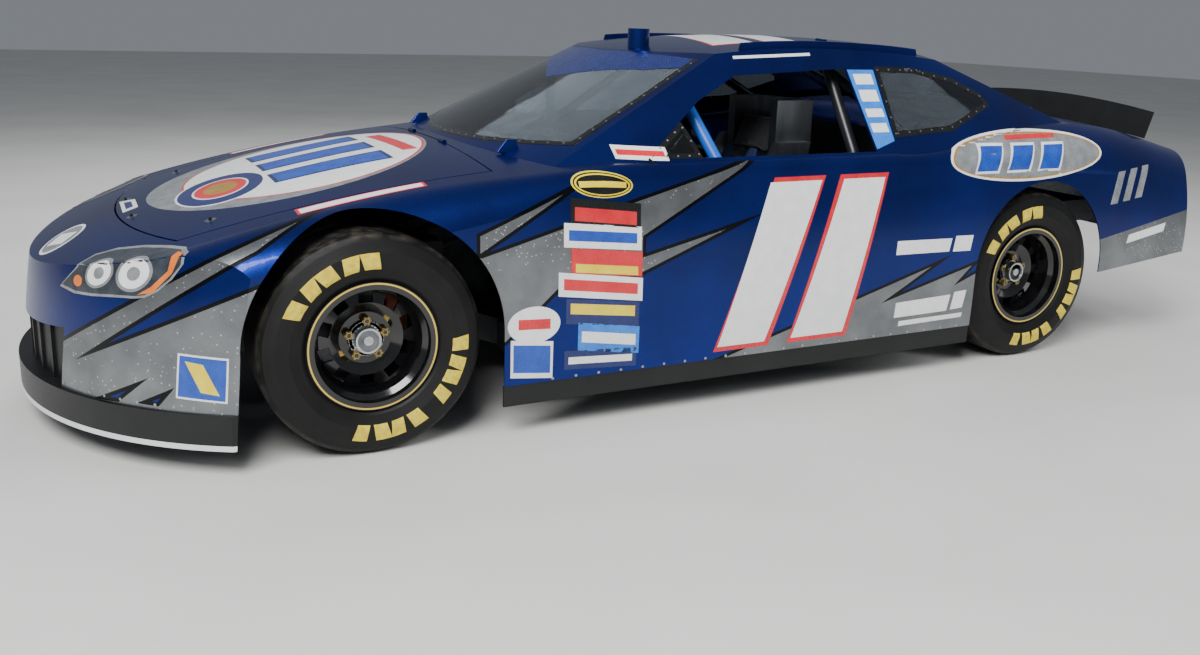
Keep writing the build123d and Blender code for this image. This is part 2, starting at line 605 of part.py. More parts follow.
# Roll cage, tubes of one diameter
TUBE_R = 22.0
CAGE_FOOT_Z = MAIN_RAIL_Z + RAIL_H
HOOP_Y = 452.0
HOOP = ((MAIN_RAIL_X, HOOP_Y, CAGE_FOOT_Z), (MAIN_RAIL_X + 60, HOOP_Y, 860.0), (528.0, HOOP_Y, 1222.0),
        (-528.0, HOOP_Y, 1222.0), (-MAIN_RAIL_X - 60, HOOP_Y, 860.0), (-MAIN_RAIL_X, HOOP_Y, CAGE_FOOT_Z))
roll_cage = pipe(HOOP, TUBE_R)
DASH_BAR = (718.0, -640.0, 840.0)
ROOF_BAR = (530.0, -112.0, 1186.0)
HARNESS_BAR = (745.0, HOOP_Y, 760.0)
CENTRE_BAR_R = TUBE_R * 0.8
DOOR_BAR_Z = (380.0, 520.0, 660.0, 800.0)
DOOR_BAR_X = MAIN_RAIL_X + 120
DOOR_BAR_BEND = 200.0

# Runs of the cage's left half, each the points along one bent tube
CAGE_RUNS = {
    "front leg and roof side": ((MAIN_RAIL_X, -620.0, CAGE_FOOT_Z), (MAIN_RAIL_X + 20, -640.0, 850.0),
                                (530.0, -110.0, 1186.0), (524.0, HOOP_Y, 1216.0)),
    "window brace": ((583.0, -240.0, 1100.0), (790.0, -150.0, 806.0)),
    "rear stay": ((500.0, HOOP_Y, 1200.0), (REAR_RAIL_X, AXLE_MEMBER_Y, REAR_RAIL_Z + RAIL_H - WELD_LAP)),
    "front stay": ((650.0, -640.0, 850.0), (FRONT_RAIL_X, -1500.0, 560.0),
                   (FRONT_RAIL_X, -2240.0, FRONT_RAIL_Z + RAIL_H - WELD_LAP)),
}
half_cage = Part()
for run in CAGE_RUNS.values():
    half_cage += pipe(run, TUBE_R)
for z in DOOR_BAR_Z:
    half_cage += pipe(((MAIN_RAIL_X + 8, -630.0, z), (DOOR_BAR_X, -330.0, z), (DOOR_BAR_X, 200.0, z),
                       (MAIN_RAIL_X + 20, HOOP_Y, z)), TUBE_R, DOOR_BAR_BEND)
roll_cage = roll_cage + half_cage + mirror(half_cage, about=Plane.YZ)
for x, y, z in (DASH_BAR, ROOF_BAR, HARNESS_BAR):
    roll_cage += pipe(((-x, y, z), (x, y, z)), TUBE_R)
roll_cage += pipe(((0.0, *ROOF_BAR[1:]), (0.0, *DASH_BAR[1:])), CENTRE_BAR_R)
roll_cage = roll_cage - frame_rails

# Cabin tin: floor, tunnel and bulkheads
TIN = 3.0
FLOOR_Z = MAIN_RAIL_Z + 20
FLOOR_HALF_W = MAIN_RAIL_X - RAIL_W / 2
TUNNEL_W = 150.0
TUNNEL_H = 245.0
TUNNEL_BELL_H = 365.0
TUNNEL_LEVEL_Y = -300.0


def tunnel_block(shrink, foot_z):
    """Raised tunnel over the gearbox and the shaft, higher at its front end."""
    bell_z, low_z = FLOOR_Z + TUNNEL_BELL_H - shrink, FLOOR_Z + TUNNEL_H - shrink
    return side_prism([(my0, foot_z), (my0, bell_z), (TUNNEL_LEVEL_Y, low_z), (my1, low_z), (my1, foot_z)],
                      -TUNNEL_W + shrink, TUNNEL_W - shrink)


tunnel = tunnel_block(0.0, FLOOR_Z)
tunnel_in = tunnel_block(TIN, FLOOR_Z - 10)
floor_pan = box(-FLOOR_HALF_W, FLOOR_HALF_W, my0 + RAIL_W, my1 - RAIL_W, FLOOR_Z, FLOOR_Z + TIN)
floor_pan = floor_pan + (tunnel & box(-FAR, FAR, my0 + RAIL_W, my1 - RAIL_W, 0, FAR)) - tunnel_in
floor_pan = floor_pan - frame_rails - roll_cage
FIREWALL_HALF_W = 640.0
FIREWALL_Y = -812.0
FIREWALL_TOP = 838.0
REAR_WALL_HALF_W = 690.0
REAR_WALL_TOP = 930.0
firewall = box(-FIREWALL_HALF_W, FIREWALL_HALF_W, FIREWALL_Y, FIREWALL_Y + TIN, CAGE_FOOT_Z, FIREWALL_TOP)
rear_wall = box(-REAR_WALL_HALF_W, REAR_WALL_HALF_W, my1, my1 + TIN, CAGE_FOOT_Z, REAR_WALL_TOP)
rear_wall -= box(-TUNNEL_W, TUNNEL_W, my1, my1 + TIN, CAGE_FOOT_Z, FLOOR_Z + TUNNEL_H)

# Racing seat for the driver, on the left
SEAT_X = 385.0
SEAT_Y = 60.0
SEAT_Z = 205.0
SEAT_W = 430.0
SEAT_PAD = 40.0
HEAD_HALF_W = 170.0
HEAD_PAD = 45.0
SEAT_LEG_HALF_W = 190.0
SEAT_LEG_L = 40.0
SEAT_LEG_Y = (-380.0, 0.0)
SEAT_LEG_TOP = SEAT_Z + 20.0

# Side views of the bucket, as (y, z) from the seat's own point: its outside, and the hollow for the driver
SEAT_OUTSIDE = ((-430.0, 0.0), (60.0, 0.0), (300.0, 700.0), (150.0, 700.0), (-60.0, 330.0), (-430.0, 230.0))
SEAT_HOLLOW = ((-500.0, 110.0), (-40.0, 90.0), (245.0, 800.0), (-500.0, 800.0))
HEAD_OUTSIDE = (160.0, 330.0, 640.0, 860.0)
HEAD_HOLLOW = (100.0, 285.0, 600.0, 900.0)


def seat_slice(points, half_w):
    """A side view of the seat, carried across its width."""
    return side_prism([(SEAT_Y + y, SEAT_Z + z) for y, z in points], SEAT_X - half_w, SEAT_X + half_w)


def head_box(sides, half_w):
    """A block of the head support, from its own y and z limits."""
    y0, y1, z0, z1 = sides
    return box(SEAT_X - half_w, SEAT_X + half_w, SEAT_Y + y0, SEAT_Y + y1, SEAT_Z + z0, SEAT_Z + z1)


# One-piece bucket with wrapping sides, a head support and two legs across the floor
seat = seat_slice(SEAT_OUTSIDE, SEAT_W / 2) - seat_slice(SEAT_HOLLOW, SEAT_W / 2 - SEAT_PAD)
seat += head_box(HEAD_OUTSIDE, HEAD_HALF_W) - head_box(HEAD_HOLLOW, HEAD_HALF_W - HEAD_PAD)
for y in SEAT_LEG_Y:
    seat += box(SEAT_X - SEAT_LEG_HALF_W, SEAT_X + SEAT_LEG_HALF_W, SEAT_Y + y, SEAT_Y + y + SEAT_LEG_L,
                FLOOR_Z + TIN, SEAT_LEG_TOP)

# Dashboard, steering column and wheel
DASH_Y = -560.0
DASH_Z = (690.0, 842.0)
DASH_SHELF_Y = -630.0
DASH_HALF_W = 660.0
dashboard = box(-DASH_HALF_W, DASH_HALF_W, DASH_Y, DASH_Y + TIN * 2, *DASH_Z)
dashboard += box(-DASH_HALF_W, DASH_HALF_W, DASH_SHELF_Y, DASH_Y + TIN, DASH_Z[1] - TIN, DASH_Z[1])
WHEEL_HUB = (SEAT_X, -240.0, 790.0)
COLUMN_FOOT = (SEAT_X, -1180.0, 520.0)
COLUMN_R = 13.0
steer_dir = Vector(*WHEEL_HUB) - Vector(*COLUMN_FOOT)
steer_axis = steer_dir.normalized()
HAND_R = 185.0
HAND_TUBE_R = 13.0
HAND_BOSS_R = 32.0
HAND_BOSS_L = 46.0
HAND_BOSS_OFF = 8.0
SPOKE_W = 30.0
SPOKE_T = 5.0
SPOKE_ROOT = 8.0
SPOKE_TURNS = (90, 210, 330)
COLUMN_BITE = 25.0
COLUMN_ROOM = 3.0
STEERING_BOX = (120.0, 160.0, 110.0)
BOX_FOOT = (25.0, 40.0, 470.0)
COLUMN_TIP = tuple(Vector(*WHEEL_HUB) + steer_axis * COLUMN_BITE)
steering_column = pipe((COLUMN_FOOT, COLUMN_TIP), COLUMN_R)
steering_column += Pos(*COLUMN_FOOT) * Box(*STEERING_BOX)
steering_column += box(FRONT_RAIL_X - BOX_FOOT[0], FRONT_RAIL_X + BOX_FOOT[0], COLUMN_FOOT[1] - BOX_FOOT[1],
                       COLUMN_FOOT[1] + BOX_FOOT[1], FRONT_RAIL_Z + RAIL_H + SEAT_GAP, BOX_FOOT[2])
column_way = pipe((COLUMN_FOOT, WHEEL_HUB), COLUMN_R + COLUMN_ROOM)
dashboard = dashboard - pipe((COLUMN_FOOT, WHEEL_HUB), COLUMN_R + SEAT_GAP) - roll_cage
firewalls = Compound(children=[*(firewall - tunnel - roll_cage - frame_rails - column_way).solids(),
                               *(rear_wall - roll_cage - frame_rails).solids()])
wheel_plane = Plane(origin=WHEEL_HUB, x_dir=(1, 0, 0), z_dir=steer_axis)
hand_local = Torus(HAND_R, HAND_TUBE_R)
hand_local += Cylinder(HAND_BOSS_R, HAND_BOSS_L)
for turn in SPOKE_TURNS:
    spoke = Pos(HAND_R / 2 + SPOKE_ROOT, 0, 0) * Box(HAND_R - 2 * SPOKE_ROOT, SPOKE_W, SPOKE_T)
    hand_local += Rot(0, 0, turn) * spoke
steering_wheel = wheel_plane * (Pos(0, 0, HAND_BOSS_L / 2 + HAND_BOSS_OFF) * hand_local)
column_socket = Cylinder(COLUMN_R + SEAT_GAP, 2 * (COLUMN_BITE + 5.0))
steering_wheel = steering_wheel - wheel_plane * column_socket

# Engine and drive line
ENGINE_Y = (-1420.0, -860.0)
ENGINE_HALF_W = 255.0
ENGINE_Z = (250.0, 620.0)
INTAKE = (-180.0, 180.0, -1380.0, -980.0, ENGINE_Z[1], 742.0)
MOUNT_X = FRONT_RAIL_X - RAIL_W / 2 - SEAT_GAP
ENGINE_MOUNT = (-MOUNT_X, MOUNT_X, -1400.0, -1330.0, 285.0, 325.0)
engine_block = box(-ENGINE_HALF_W, ENGINE_HALF_W, *ENGINE_Y, *ENGINE_Z) + box(*INTAKE) + box(*ENGINE_MOUNT)
engine_block = engine_block.solids()[0]
GEARBOX_Y = (ENGINE_Y[1] + SEAT_GAP, -560.0, -250.0)
GEARBOX_TOP = (430.0, 410.0, 380.0)
GEARBOX_FOOT = (255.0, 255.0, 270.0)
GEARBOX_HALF_W = 110.0
SHAFT_R = 40.0
SHAFT_FRONT_Z = 320.0
SHAFT_LAP = 2.0
NOSE_OF_AXLE = 125.0
gearbox_side = [*zip(GEARBOX_Y, GEARBOX_TOP), *reversed(list(zip(GEARBOX_Y, GEARBOX_FOOT)))]
gearbox = side_prism(gearbox_side, -GEARBOX_HALF_W, GEARBOX_HALF_W) & tunnel_in
shaft_front = (0, GEARBOX_Y[2] - SHAFT_LAP, SHAFT_FRONT_Z)
driveline = gearbox + pipe((shaft_front, (0, REAR_AXLE_Y - NOSE_OF_AXLE, TYRE_R)), SHAFT_R)

# Front suspension: fixed arms from the rails to the uprights
ARM_R = 17.0
PIVOT_LOW_Z = 225.0
PIVOT_HIGH_Z = 470.0
KINGPIN_X = 588.0
KINGPIN_LEAN = 7.0
FRAME_SIDE_X = FRONT_RAIL_X + RAIL_W / 2
low_ball = (KINGPIN_X, FRONT_AXLE_Y, PIVOT_LOW_Z)
PIVOT_RISE = PIVOT_HIGH_Z - PIVOT_LOW_Z
high_ball = (KINGPIN_X - PIVOT_RISE * tan(radians(KINGPIN_LEAN)), FRONT_AXLE_Y, PIVOT_HIGH_Z)
KINGPIN_L = PIVOT_RISE / cos(radians(KINGPIN_LEAN))
BOSS_R = 30.0
LOW_BOSS = (-25.0, 25.0)
HIGH_BOSS = (KINGPIN_L - 16.0, KINGPIN_L + 14.0)
PIVOT_GAP = 0.3
PIVOT_BLOCK = (24.0, 50.0, 50.0)
HIGH_ARM_R = ARM_R * 0.8
LOW_SPREAD = 150.0
HIGH_SPREAD = 110.0
LOW_PIVOT_RISE = 30.0
POST_Y = (FRONT_AXLE_Y - 140.0, FRONT_AXLE_Y + 160.0)
POST_T = 30.0


def on_kingpin(r, low, high):
    """Round boss on the kingpin's leaning axis, between two distances from the lower ball."""
    return Pos(*low_ball) * Rot(0, -KINGPIN_LEAN, 0) * Pos(0, 0, (low + high) / 2) * Cylinder(r, high - low)


def wishbone(ball, boss, frame_z, spread_y, r):
    """Two tubes from the frame to one ball joint."""
    arm = on_kingpin(BOSS_R, *boss)
    for dy in (-spread_y, spread_y):
        foot = (FRAME_SIDE_X + PIVOT_BLOCK[0] / 2, ball[1] + dy, frame_z)
        arm += pipe((foot, ball), r) + Pos(*foot) * Box(*PIVOT_BLOCK)
    return arm


front_arms = wishbone(low_ball, LOW_BOSS, FRONT_RAIL_Z + LOW_PIVOT_RISE, LOW_SPREAD, ARM_R)
high_post = box(FRAME_SIDE_X - POST_T, FRAME_SIDE_X, *POST_Y, FRONT_RAIL_Z + RAIL_H, PIVOT_HIGH_Z + POST_T)
front_arms += wishbone(high_ball, HIGH_BOSS, PIVOT_HIGH_Z, HIGH_SPREAD, HIGH_ARM_R) + high_post

# Rear axle, trailing arms and springs
AXLE_TUBE_R = 41.0
HUB_R = 55.0
DIFF_R = 135.0
axle_end = TRACK_HALF - RIM_W / 2
rear_axle = Pos(0, REAR_AXLE_Y, TYRE_R) * Rot(0, 90, 0) * Cylinder(AXLE_TUBE_R, 2 * axle_end)
rear_axle = rear_axle + Pos(0, REAR_AXLE_Y, TYRE_R) * Sphere(DIFF_R) - driveline
ARM_TUBE_R = 26.0
ARM_FRONT = (170.0, my1 + 25.0, MAIN_RAIL_Z + 50.0)
ARM_REAR_X = REAR_RAIL_X - 60.0
ARM_REAR_Y = (REAR_AXLE_Y - 70.0, REAR_AXLE_Y + 50.0)
ARM_BEND = 120.0
ARM_BRACKET_HALF = 30.0
arm_rear_z = TYRE_R - AXLE_TUBE_R - ARM_TUBE_R - SEAT_GAP
trailing_arm = pipe((ARM_FRONT, *[(ARM_REAR_X, y, arm_rear_z) for y in ARM_REAR_Y]), ARM_TUBE_R, ARM_BEND)
bracket_y = (my1 + SEAT_GAP, 2 * ARM_FRONT[1] - my1)
trailing_arm += box(ARM_FRONT[0] - ARM_BRACKET_HALF, ARM_FRONT[0] + ARM_BRACKET_HALF, *bracket_y,
                    ARM_FRONT[2] - ARM_BRACKET_HALF, ARM_FRONT[2] + ARM_BRACKET_HALF)
SPRING_X = REAR_RAIL_X - 96.0
SPRING_R = 55.0
SPRING_LOW_Z = TYRE_R + AXLE_TUBE_R + 8.0
SPRING_HIGH_Z = REAR_RAIL_Z + 60.0
PERCH_T = 20.0
SPRING_PLATE_T = 12.0
spring_y = (REAR_AXLE_Y - SPRING_R, REAR_AXLE_Y + SPRING_R)
spring_l = SPRING_HIGH_Z - SPRING_LOW_Z - 2 * SEAT_GAP
rear_spring = Pos(SPRING_X, REAR_AXLE_Y, (SPRING_LOW_Z + SPRING_HIGH_Z) / 2) * Cylinder(SPRING_R, spring_l)
for side in (1, -1):
    x0, x1 = sorted((side * (SPRING_X - SPRING_R), side * (SPRING_X + SPRING_R)))
    rear_axle += box(x0, x1, *spring_y, SPRING_LOW_Z - PERCH_T, SPRING_LOW_Z)
    x0, x1 = sorted((side * (SPRING_X - SPRING_R), side * (REAR_RAIL_X - RAIL_W / 2 + WELD_LAP)))
    frame_rails += box(x0, x1, *spring_y, SPRING_HIGH_Z, SPRING_HIGH_Z + SPRING_PLATE_T)

# Fuel cell, exhaust
CELL_HALF_W = 320.0
CELL_Y = (1680.0, 2090.0)
CELL_FOOT_Z = 250.0
FLANGE_T = 6.0
cell_top = REAR_RAIL_Z - SEAT_GAP
fuel_cell = box(-CELL_HALF_W, CELL_HALF_W, *CELL_Y, CELL_FOOT_Z, cell_top)
fuel_cell += box(-REAR_RAIL_X, REAR_RAIL_X, *CELL_Y, cell_top - FLANGE_T, cell_top)
EXHAUST_R = 36.0
EXHAUST_Z = MAIN_RAIL_Z - EXHAUST_R - SEAT_GAP
EXHAUST_RUN = ((-293.0, -1240.0, 330.0), (-293.0, -1030.0, EXHAUST_Z), (-560.0, -500.0, EXHAUST_Z),
               (-590.0, 560.0, EXHAUST_Z), (-917.0, 800.0, EXHAUST_Z))
EXHAUST_BEND = 90.0
EXHAUST_NOTCH_Y = (720.0, 860.0)
EXHAUST_ROOM = 12.0
exhaust = pipe(EXHAUST_RUN, EXHAUST_R, EXHAUST_BEND)
side_skirts = side_skirts - box(-FAR, 0, *EXHAUST_NOTCH_Y, 0, EXHAUST_Z + EXHAUST_R + EXHAUST_ROOM)

# Wheels and tyres
RIM_SHEET = 9.0
BEAD_W = 14.0
WELL_DROP = 16.0
RIM_WELL_R = RIM_R - WELL_DROP
RIM_INNER_R = RIM_R - 24.0
DISC_T = 12.0
DISC_RING_R = (150.0, 118.0, 84.0)
TREAD_HALF = TYRE_W / 2 - 60.0
LUG_R = 12.0
LUG_L = 28.0
LUG_SINK = 22.0


def spun(points):
    """Solid turned about the wheel's own axis from (radius, offset) points."""
    return revolve(make_face(Polyline(*points, close=True)), axis=Axis.Y)


def wheel_parts():
    """Steel rim with its disc, and slick tyre, about the X axis with the outer side towards +X."""
    half, lip = RIM_W / 2, RIM_LIP_R
    d = half - WHEEL_DISC_INSET
    r0, r1, r2 = DISC_RING_R
    rim = spun([
        (RIM_R - RIM_SHEET, -half), (lip, -half), (lip, -half + RIM_SHEET), (RIM_R, -half + BEAD_W),
        (RIM_R, -half + 60), (RIM_WELL_R, -half + 80), (RIM_WELL_R, half - 40), (RIM_R, half - 25),
        (RIM_R, half - BEAD_W), (lip, half - RIM_SHEET), (lip, half), (RIM_R - RIM_SHEET, half),
        (RIM_R - RIM_SHEET, half - 28), (RIM_INNER_R, half - 44), (RIM_INNER_R, d + DISC_T), (r0, d + 20),
        (r1, d + 26), (r2, d + 8), (HUB_BORE_R, d + 8), (HUB_BORE_R, d + 8 - DISC_T), (r2, d + 8 - DISC_T),
        (r1, d + 26 - DISC_T), (r0, d + 20 - DISC_T), (RIM_INNER_R, d), (RIM_INNER_R, -half + 76),
        (RIM_R - RIM_SHEET, -half + 56)])
    window = Pos(WINDOW_R, d + DISC_T, 0) * Box(WINDOW_H, 5 * DISC_T, WINDOW_W)
    for i in range(WINDOW_COUNT):
        rim -= Rot(0, 360 / WINDOW_COUNT * (i + 0.5), 0) * window
    w = TYRE_W / 2
    tyre_half = [(TYRE_R, TREAD_HALF), (TYRE_R - 3, w - 34), (334, w - 16), (300, w - 2), (258, w),
                 (lip + 16, w - 16), (lip + 4, half - RIM_SHEET - SEAT_GAP),
                 (RIM_R + SEAT_GAP, half - BEAD_W - SEAT_GAP)]
    tyre = spun([*[(r, -x) for r, x in reversed(tyre_half)], *tyre_half])
    for i in range(LUG_COUNT):
        turn = radians(90 + 360 / LUG_COUNT * i)
        spot = (LUG_PCD_R * cos(turn), d, LUG_PCD_R * sin(turn))
        rim += Pos(*spot) * Rot(90, 0, 0) * Pos(0, 0, -LUG_SINK) * Cylinder(LUG_R, LUG_L)
    return [Rot(0, 0, -90) * rim, Rot(0, 0, -90) * tyre]


rim_shape, tyre_shape = wheel_parts()
disc_face_x = RIM_W / 2 - WHEEL_DISC_INSET + 8 - DISC_T
PLACES = {"front_left": (1, FRONT_AXLE_Y), "front_right": (-1, FRONT_AXLE_Y),
          "rear_left": (1, REAR_AXLE_Y), "rear_right": (-1, REAR_AXLE_Y)}
for name, (side, y) in PLACES.items():
    for part_name, shape in (("wheel", rim_shape), ("tyre", tyre_shape)):
        placed = Pos(TRACK_HALF, y, TYRE_R) * shape
        if side < 0:
            placed = mirror(placed, about=Plane.YZ)
        write(f"{part_name}_{name}", placed)

# Uprights that steer, with the brake disc and the hub
BRAKE_R = 150.0
BRAKE_T = 30.0
BRAKE_OFF = 45.0
KNUCKLE_BACK = 19.7
AXLE_LAP = 10.3
FRONT_CAP_L = 55.0
REAR_CAP_L = 54.0
hub_x = TRACK_HALF + disc_face_x


def across(r, x0, x1, y):
    """Round piece about a wheel's axis, between two distances from the car's middle."""
    return Pos((x0 + x1) / 2, y, TYRE_R) * Rot(0, 90, 0) * Cylinder(r, x1 - x0)


knuckle = across(HUB_R, KINGPIN_X - KNUCKLE_BACK, hub_x - SEAT_GAP, FRONT_AXLE_Y)
knuckle += across(BRAKE_R, KINGPIN_X + BRAKE_OFF, KINGPIN_X + BRAKE_OFF + BRAKE_T, FRONT_AXLE_Y)
knuckle += on_kingpin(BOSS_R - 4, LOW_BOSS[1] + PIVOT_GAP, HIGH_BOSS[0] - PIVOT_GAP)
knuckle += across(HUB_BORE_R - SEAT_GAP, hub_x - 5, hub_x + FRONT_CAP_L, FRONT_AXLE_Y)
knuckle_left = knuckle
knuckle_right = mirror(knuckle, about=Plane.YZ)
rear_hub = across(HUB_R, axle_end - AXLE_LAP, hub_x - SEAT_GAP, REAR_AXLE_Y)
rear_hub += across(HUB_BORE_R - SEAT_GAP, hub_x - 6, hub_x + REAR_CAP_L, REAR_AXLE_Y)
rear_axle = rear_axle + rear_hub + mirror(rear_hub, about=Plane.YZ)

# Rear spoiler on the deck lid
SPOILER_HALF_W = 698.0
SPOILER_T = 6.0
SPOILER_FOOT_Z = 870.0
SPOILER_HEAD_Z = 1068.0
SPOILER_RAKE = 70.0
SPOILER_END_Z = 1010.0
SPOILER_MID_Z = 1062.0
SPOILER_LIFT = 8.0
spoiler_y = DECK_REAR_Y - 50.0
spoiler_head_y = spoiler_y + SPOILER_RAKE
blade = side_prism([(spoiler_y, SPOILER_FOOT_Z), (spoiler_y + SPOILER_T, SPOILER_FOOT_Z),
                    (spoiler_head_y + SPOILER_T, SPOILER_HEAD_Z), (spoiler_head_y, SPOILER_HEAD_Z)],
                   -SPOILER_HALF_W, SPOILER_HALF_W)
top_curve = ThreePointArc((SPOILER_HALF_W, SPOILER_END_Z), (0, SPOILER_MID_Z),
                          (-SPOILER_HALF_W, SPOILER_END_Z))
top_sides = Polyline((-SPOILER_HALF_W, SPOILER_END_Z), (-SPOILER_HALF_W, 0), (SPOILER_HALF_W, 0),
                     (SPOILER_HALF_W, SPOILER_END_Z))
spoiler_top = station(0) * make_face([top_curve, *top_sides.edges()])
blade = blade & (Pos(0, FAR, 0) * extrude(spoiler_top, amount=FAR))

# The blade stands on the deck lid in the middle, and its ends hang free just above the quarters
lifted = [(*row[:6], row[6] + SPOILER_LIFT, row[7] + SPOILER_LIFT) for row in REAR_SECTIONS]
spoiler_mid = box(-DECK_HALF_W, DECK_HALF_W, 0, FAR, 0, FAR)
rear_spoiler = ((blade & spoiler_mid) - rear_outer) + (blade - spoiler_mid - lower_body(lifted, 0.0))

# Camera pod on the roof
POD_AT = (161.0, -192.0)
POD_R = 43.0
POD_TOP = 1320.0
pod = Pos(*POD_AT, 0) * Cylinder(POD_R, POD_TOP, align=(Align.CENTER, Align.CENTER, Align.MIN))
roof_camera_pod = (pod - greenhouse_outer) & box(-FAR, FAR, -FAR, FAR, ROOF_CUT_Z[0], FAR)

nodes = {
    "nose_cover": nose_cover,
    "grille_screen": grille_screen,
    "air_dam": air_dam,
    "hood": hood,
    "cowl_panel": cowl_panel,
    "front_fenders": front_fenders,
    "door_panels": door_open,
    "quarter_panels": quarters,
    "deck_lid": deck_lid,
    "tail_cover": tail_cover,
    "roof_shell": roof_shell,
    "windshield": windshield,
    "rear_window": rear_window,
    "side_windows": Compound(children=[*quarter_windows.solids(), *vent_windows.solids()]),
    "roof_flap_left": flaps[0],
    "roof_flap_right": flaps[1],
    "side_skirts": side_skirts,
    "frame_rails": frame_rails,
    "roll_cage": roll_cage,
    "floor_pan": floor_pan,
    "firewalls": firewalls,
    "racing_seat": seat,
    "dashboard": dashboard,
    "steering_column": steering_column,
    "steering_wheel": steering_wheel,
    "engine_block": engine_block,
    "driveline": driveline,
    "front_arms": both_sides(front_arms),
    "rear_axle": rear_axle,
    "trailing_arms": both_sides(trailing_arm),
    "rear_springs": both_sides(rear_spring),
    "fuel_cell": fuel_cell,
    "exhaust_pipe": exhaust,
    "knuckle_left": knuckle_left,
    "knuckle_right": knuckle_right,
    "rear_spoiler": rear_spoiler,
    "roof_camera_pod": roof_camera_pod,
}
for name, shape in nodes.items():
    write(name, shape)
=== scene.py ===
"""Stock car: the looks of the part, put on over its CAD nodes.

The scene is in metres, with the car's nose toward -Y and its left side toward +X. Sizes and places
written as whole numbers are in mm, and the ones with a decimal point in metres, unless the
function that takes them says mm.
"""
import math

import bpy
from mathutils import Matrix, Vector


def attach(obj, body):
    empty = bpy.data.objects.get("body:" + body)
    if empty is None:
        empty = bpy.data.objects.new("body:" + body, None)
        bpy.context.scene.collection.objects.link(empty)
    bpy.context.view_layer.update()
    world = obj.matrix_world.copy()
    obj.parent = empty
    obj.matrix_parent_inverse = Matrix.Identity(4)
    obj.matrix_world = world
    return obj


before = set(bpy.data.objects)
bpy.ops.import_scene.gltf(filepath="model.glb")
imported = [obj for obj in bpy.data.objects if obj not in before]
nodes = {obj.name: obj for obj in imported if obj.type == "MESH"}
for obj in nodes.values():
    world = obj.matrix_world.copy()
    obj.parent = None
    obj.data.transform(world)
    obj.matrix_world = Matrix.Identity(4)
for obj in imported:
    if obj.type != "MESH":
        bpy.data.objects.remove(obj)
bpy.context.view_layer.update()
bpy.ops.object.select_all(action="DESELECT")


# Frame rails, front arms, rear axle and trailing arms: welded steel box and tube, sprayed with a
# tough satin enamel after welding, so they show a soft sheen and a little road dust.
def srgb(code):
    """A hex colour as a painter mixes it, turned to the linear colour that a shader takes."""
    parts = [int(code[i:i + 2], 16) / 255 for i in (1, 3, 5)]
    return (*(c / 12.92 if c <= 0.04045 else ((c + 0.055) / 1.055) ** 2.4 for c in parts), 1.0)


def add(tree, kind, links, **settings):
    """Adds one node: settings are its properties, links its inputs, as sockets or as values."""
    node = tree.nodes.new("ShaderNode" + kind)
    for key, value in settings.items():
        setattr(node, key, value)
    for key, value in links.items():
        if isinstance(value, bpy.types.NodeSocket):
            tree.links.new(value, node.inputs[key])
        else:
            node.inputs[key].default_value = value
    return node


def coat(name, tones, cloud, grain, rough, relief, stretch=(1, 1, 1), **sockets):
    """A finish with clouded colour, uneven gloss and fine relief; cloud, grain and relief in mm."""
    material = bpy.data.materials.new(name)
    material.use_nodes = True
    tree = material.node_tree
    shader = tree.nodes["Principled BSDF"]
    for key, value in sockets.items():
        shader.inputs[key.replace("_", " ")].default_value = value
    place = add(tree, "TexCoord", {}).outputs["Object"]
    drawn = add(tree, "Mapping", {"Vector": place, "Scale": stretch}).outputs[0]
    clouds = add(tree, "TexNoise", {"Vector": drawn, "Scale": 1000 / cloud, "Detail": 4.0})
    grains = add(tree, "TexNoise", {"Vector": drawn, "Scale": 1000 / grain, "Detail": 2.0})
    tone = add(tree, "MapRange", {0: clouds.outputs[0], 1: 0.3, 2: 0.7}).outputs[0]
    colour = add(tree, "Mix", {0: tone, 6: srgb(tones[0]), 7: srgb(tones[1])}, data_type="RGBA")
    gloss = add(tree, "MapRange", {0: grains.outputs[0], 1: 0.3, 2: 0.7, 3: rough[0], 4: rough[1]})
    bump = add(tree, "Bump", {"Height": grains.outputs[0], "Distance": relief / 1000})
    tree.links.new(colour.outputs[2], shader.inputs["Base Color"])
    tree.links.new(gloss.outputs[0], shader.inputs["Roughness"])
    tree.links.new(bump.outputs[0], shader.inputs["Normal"])
    return material


def dress(material, *names):
    """Puts one material on the CAD nodes named."""
    for name in names:
        nodes[name].data.materials.clear()
        nodes[name].data.materials.append(material)


# Sprayed satin enamel: dark, even, with a soft broad highlight and faint dust clouds.
chassis_enamel = coat("sprayed_satin_enamel", ("#25272b", "#34363a"), 180, 4, (0.38, 0.55), 0.03)
dress(chassis_enamel, "frame_rails", "front_arms", "rear_axle", "trailing_arms")


# Roll cage: bent and welded steel tube, powder coated; the tube beside the driver's window is
# wrapped in the bright blue of the body.
def recolour(material, mask, code):
    """Lays a second flat colour over a finish where mask is 1."""
    tree = material.node_tree
    base = tree.nodes["Principled BSDF"].inputs["Base Color"]
    under = base.links[0].from_socket
    over = add(tree, "Mix", {0: mask, 6: under, 7: srgb(code)}, data_type="RGBA")
    tree.links.new(over.outputs[2], base)


def maths(tree, how, *values):
    """One Math node's result, from sockets or values."""
    return add(tree, "Math", dict(enumerate(values)), operation=how).outputs[0]


def object_place(tree):
    """The Object coordinates, with x made positive so that both sides of the car are alike."""
    place = add(tree, "TexCoord", {}).outputs["Object"]
    split = add(tree, "SeparateXYZ", {0: place}).outputs
    side = maths(tree, "ABSOLUTE", split[0])
    return add(tree, "CombineXYZ", {0: side, 1: split[1], 2: split[2]}).outputs[0]


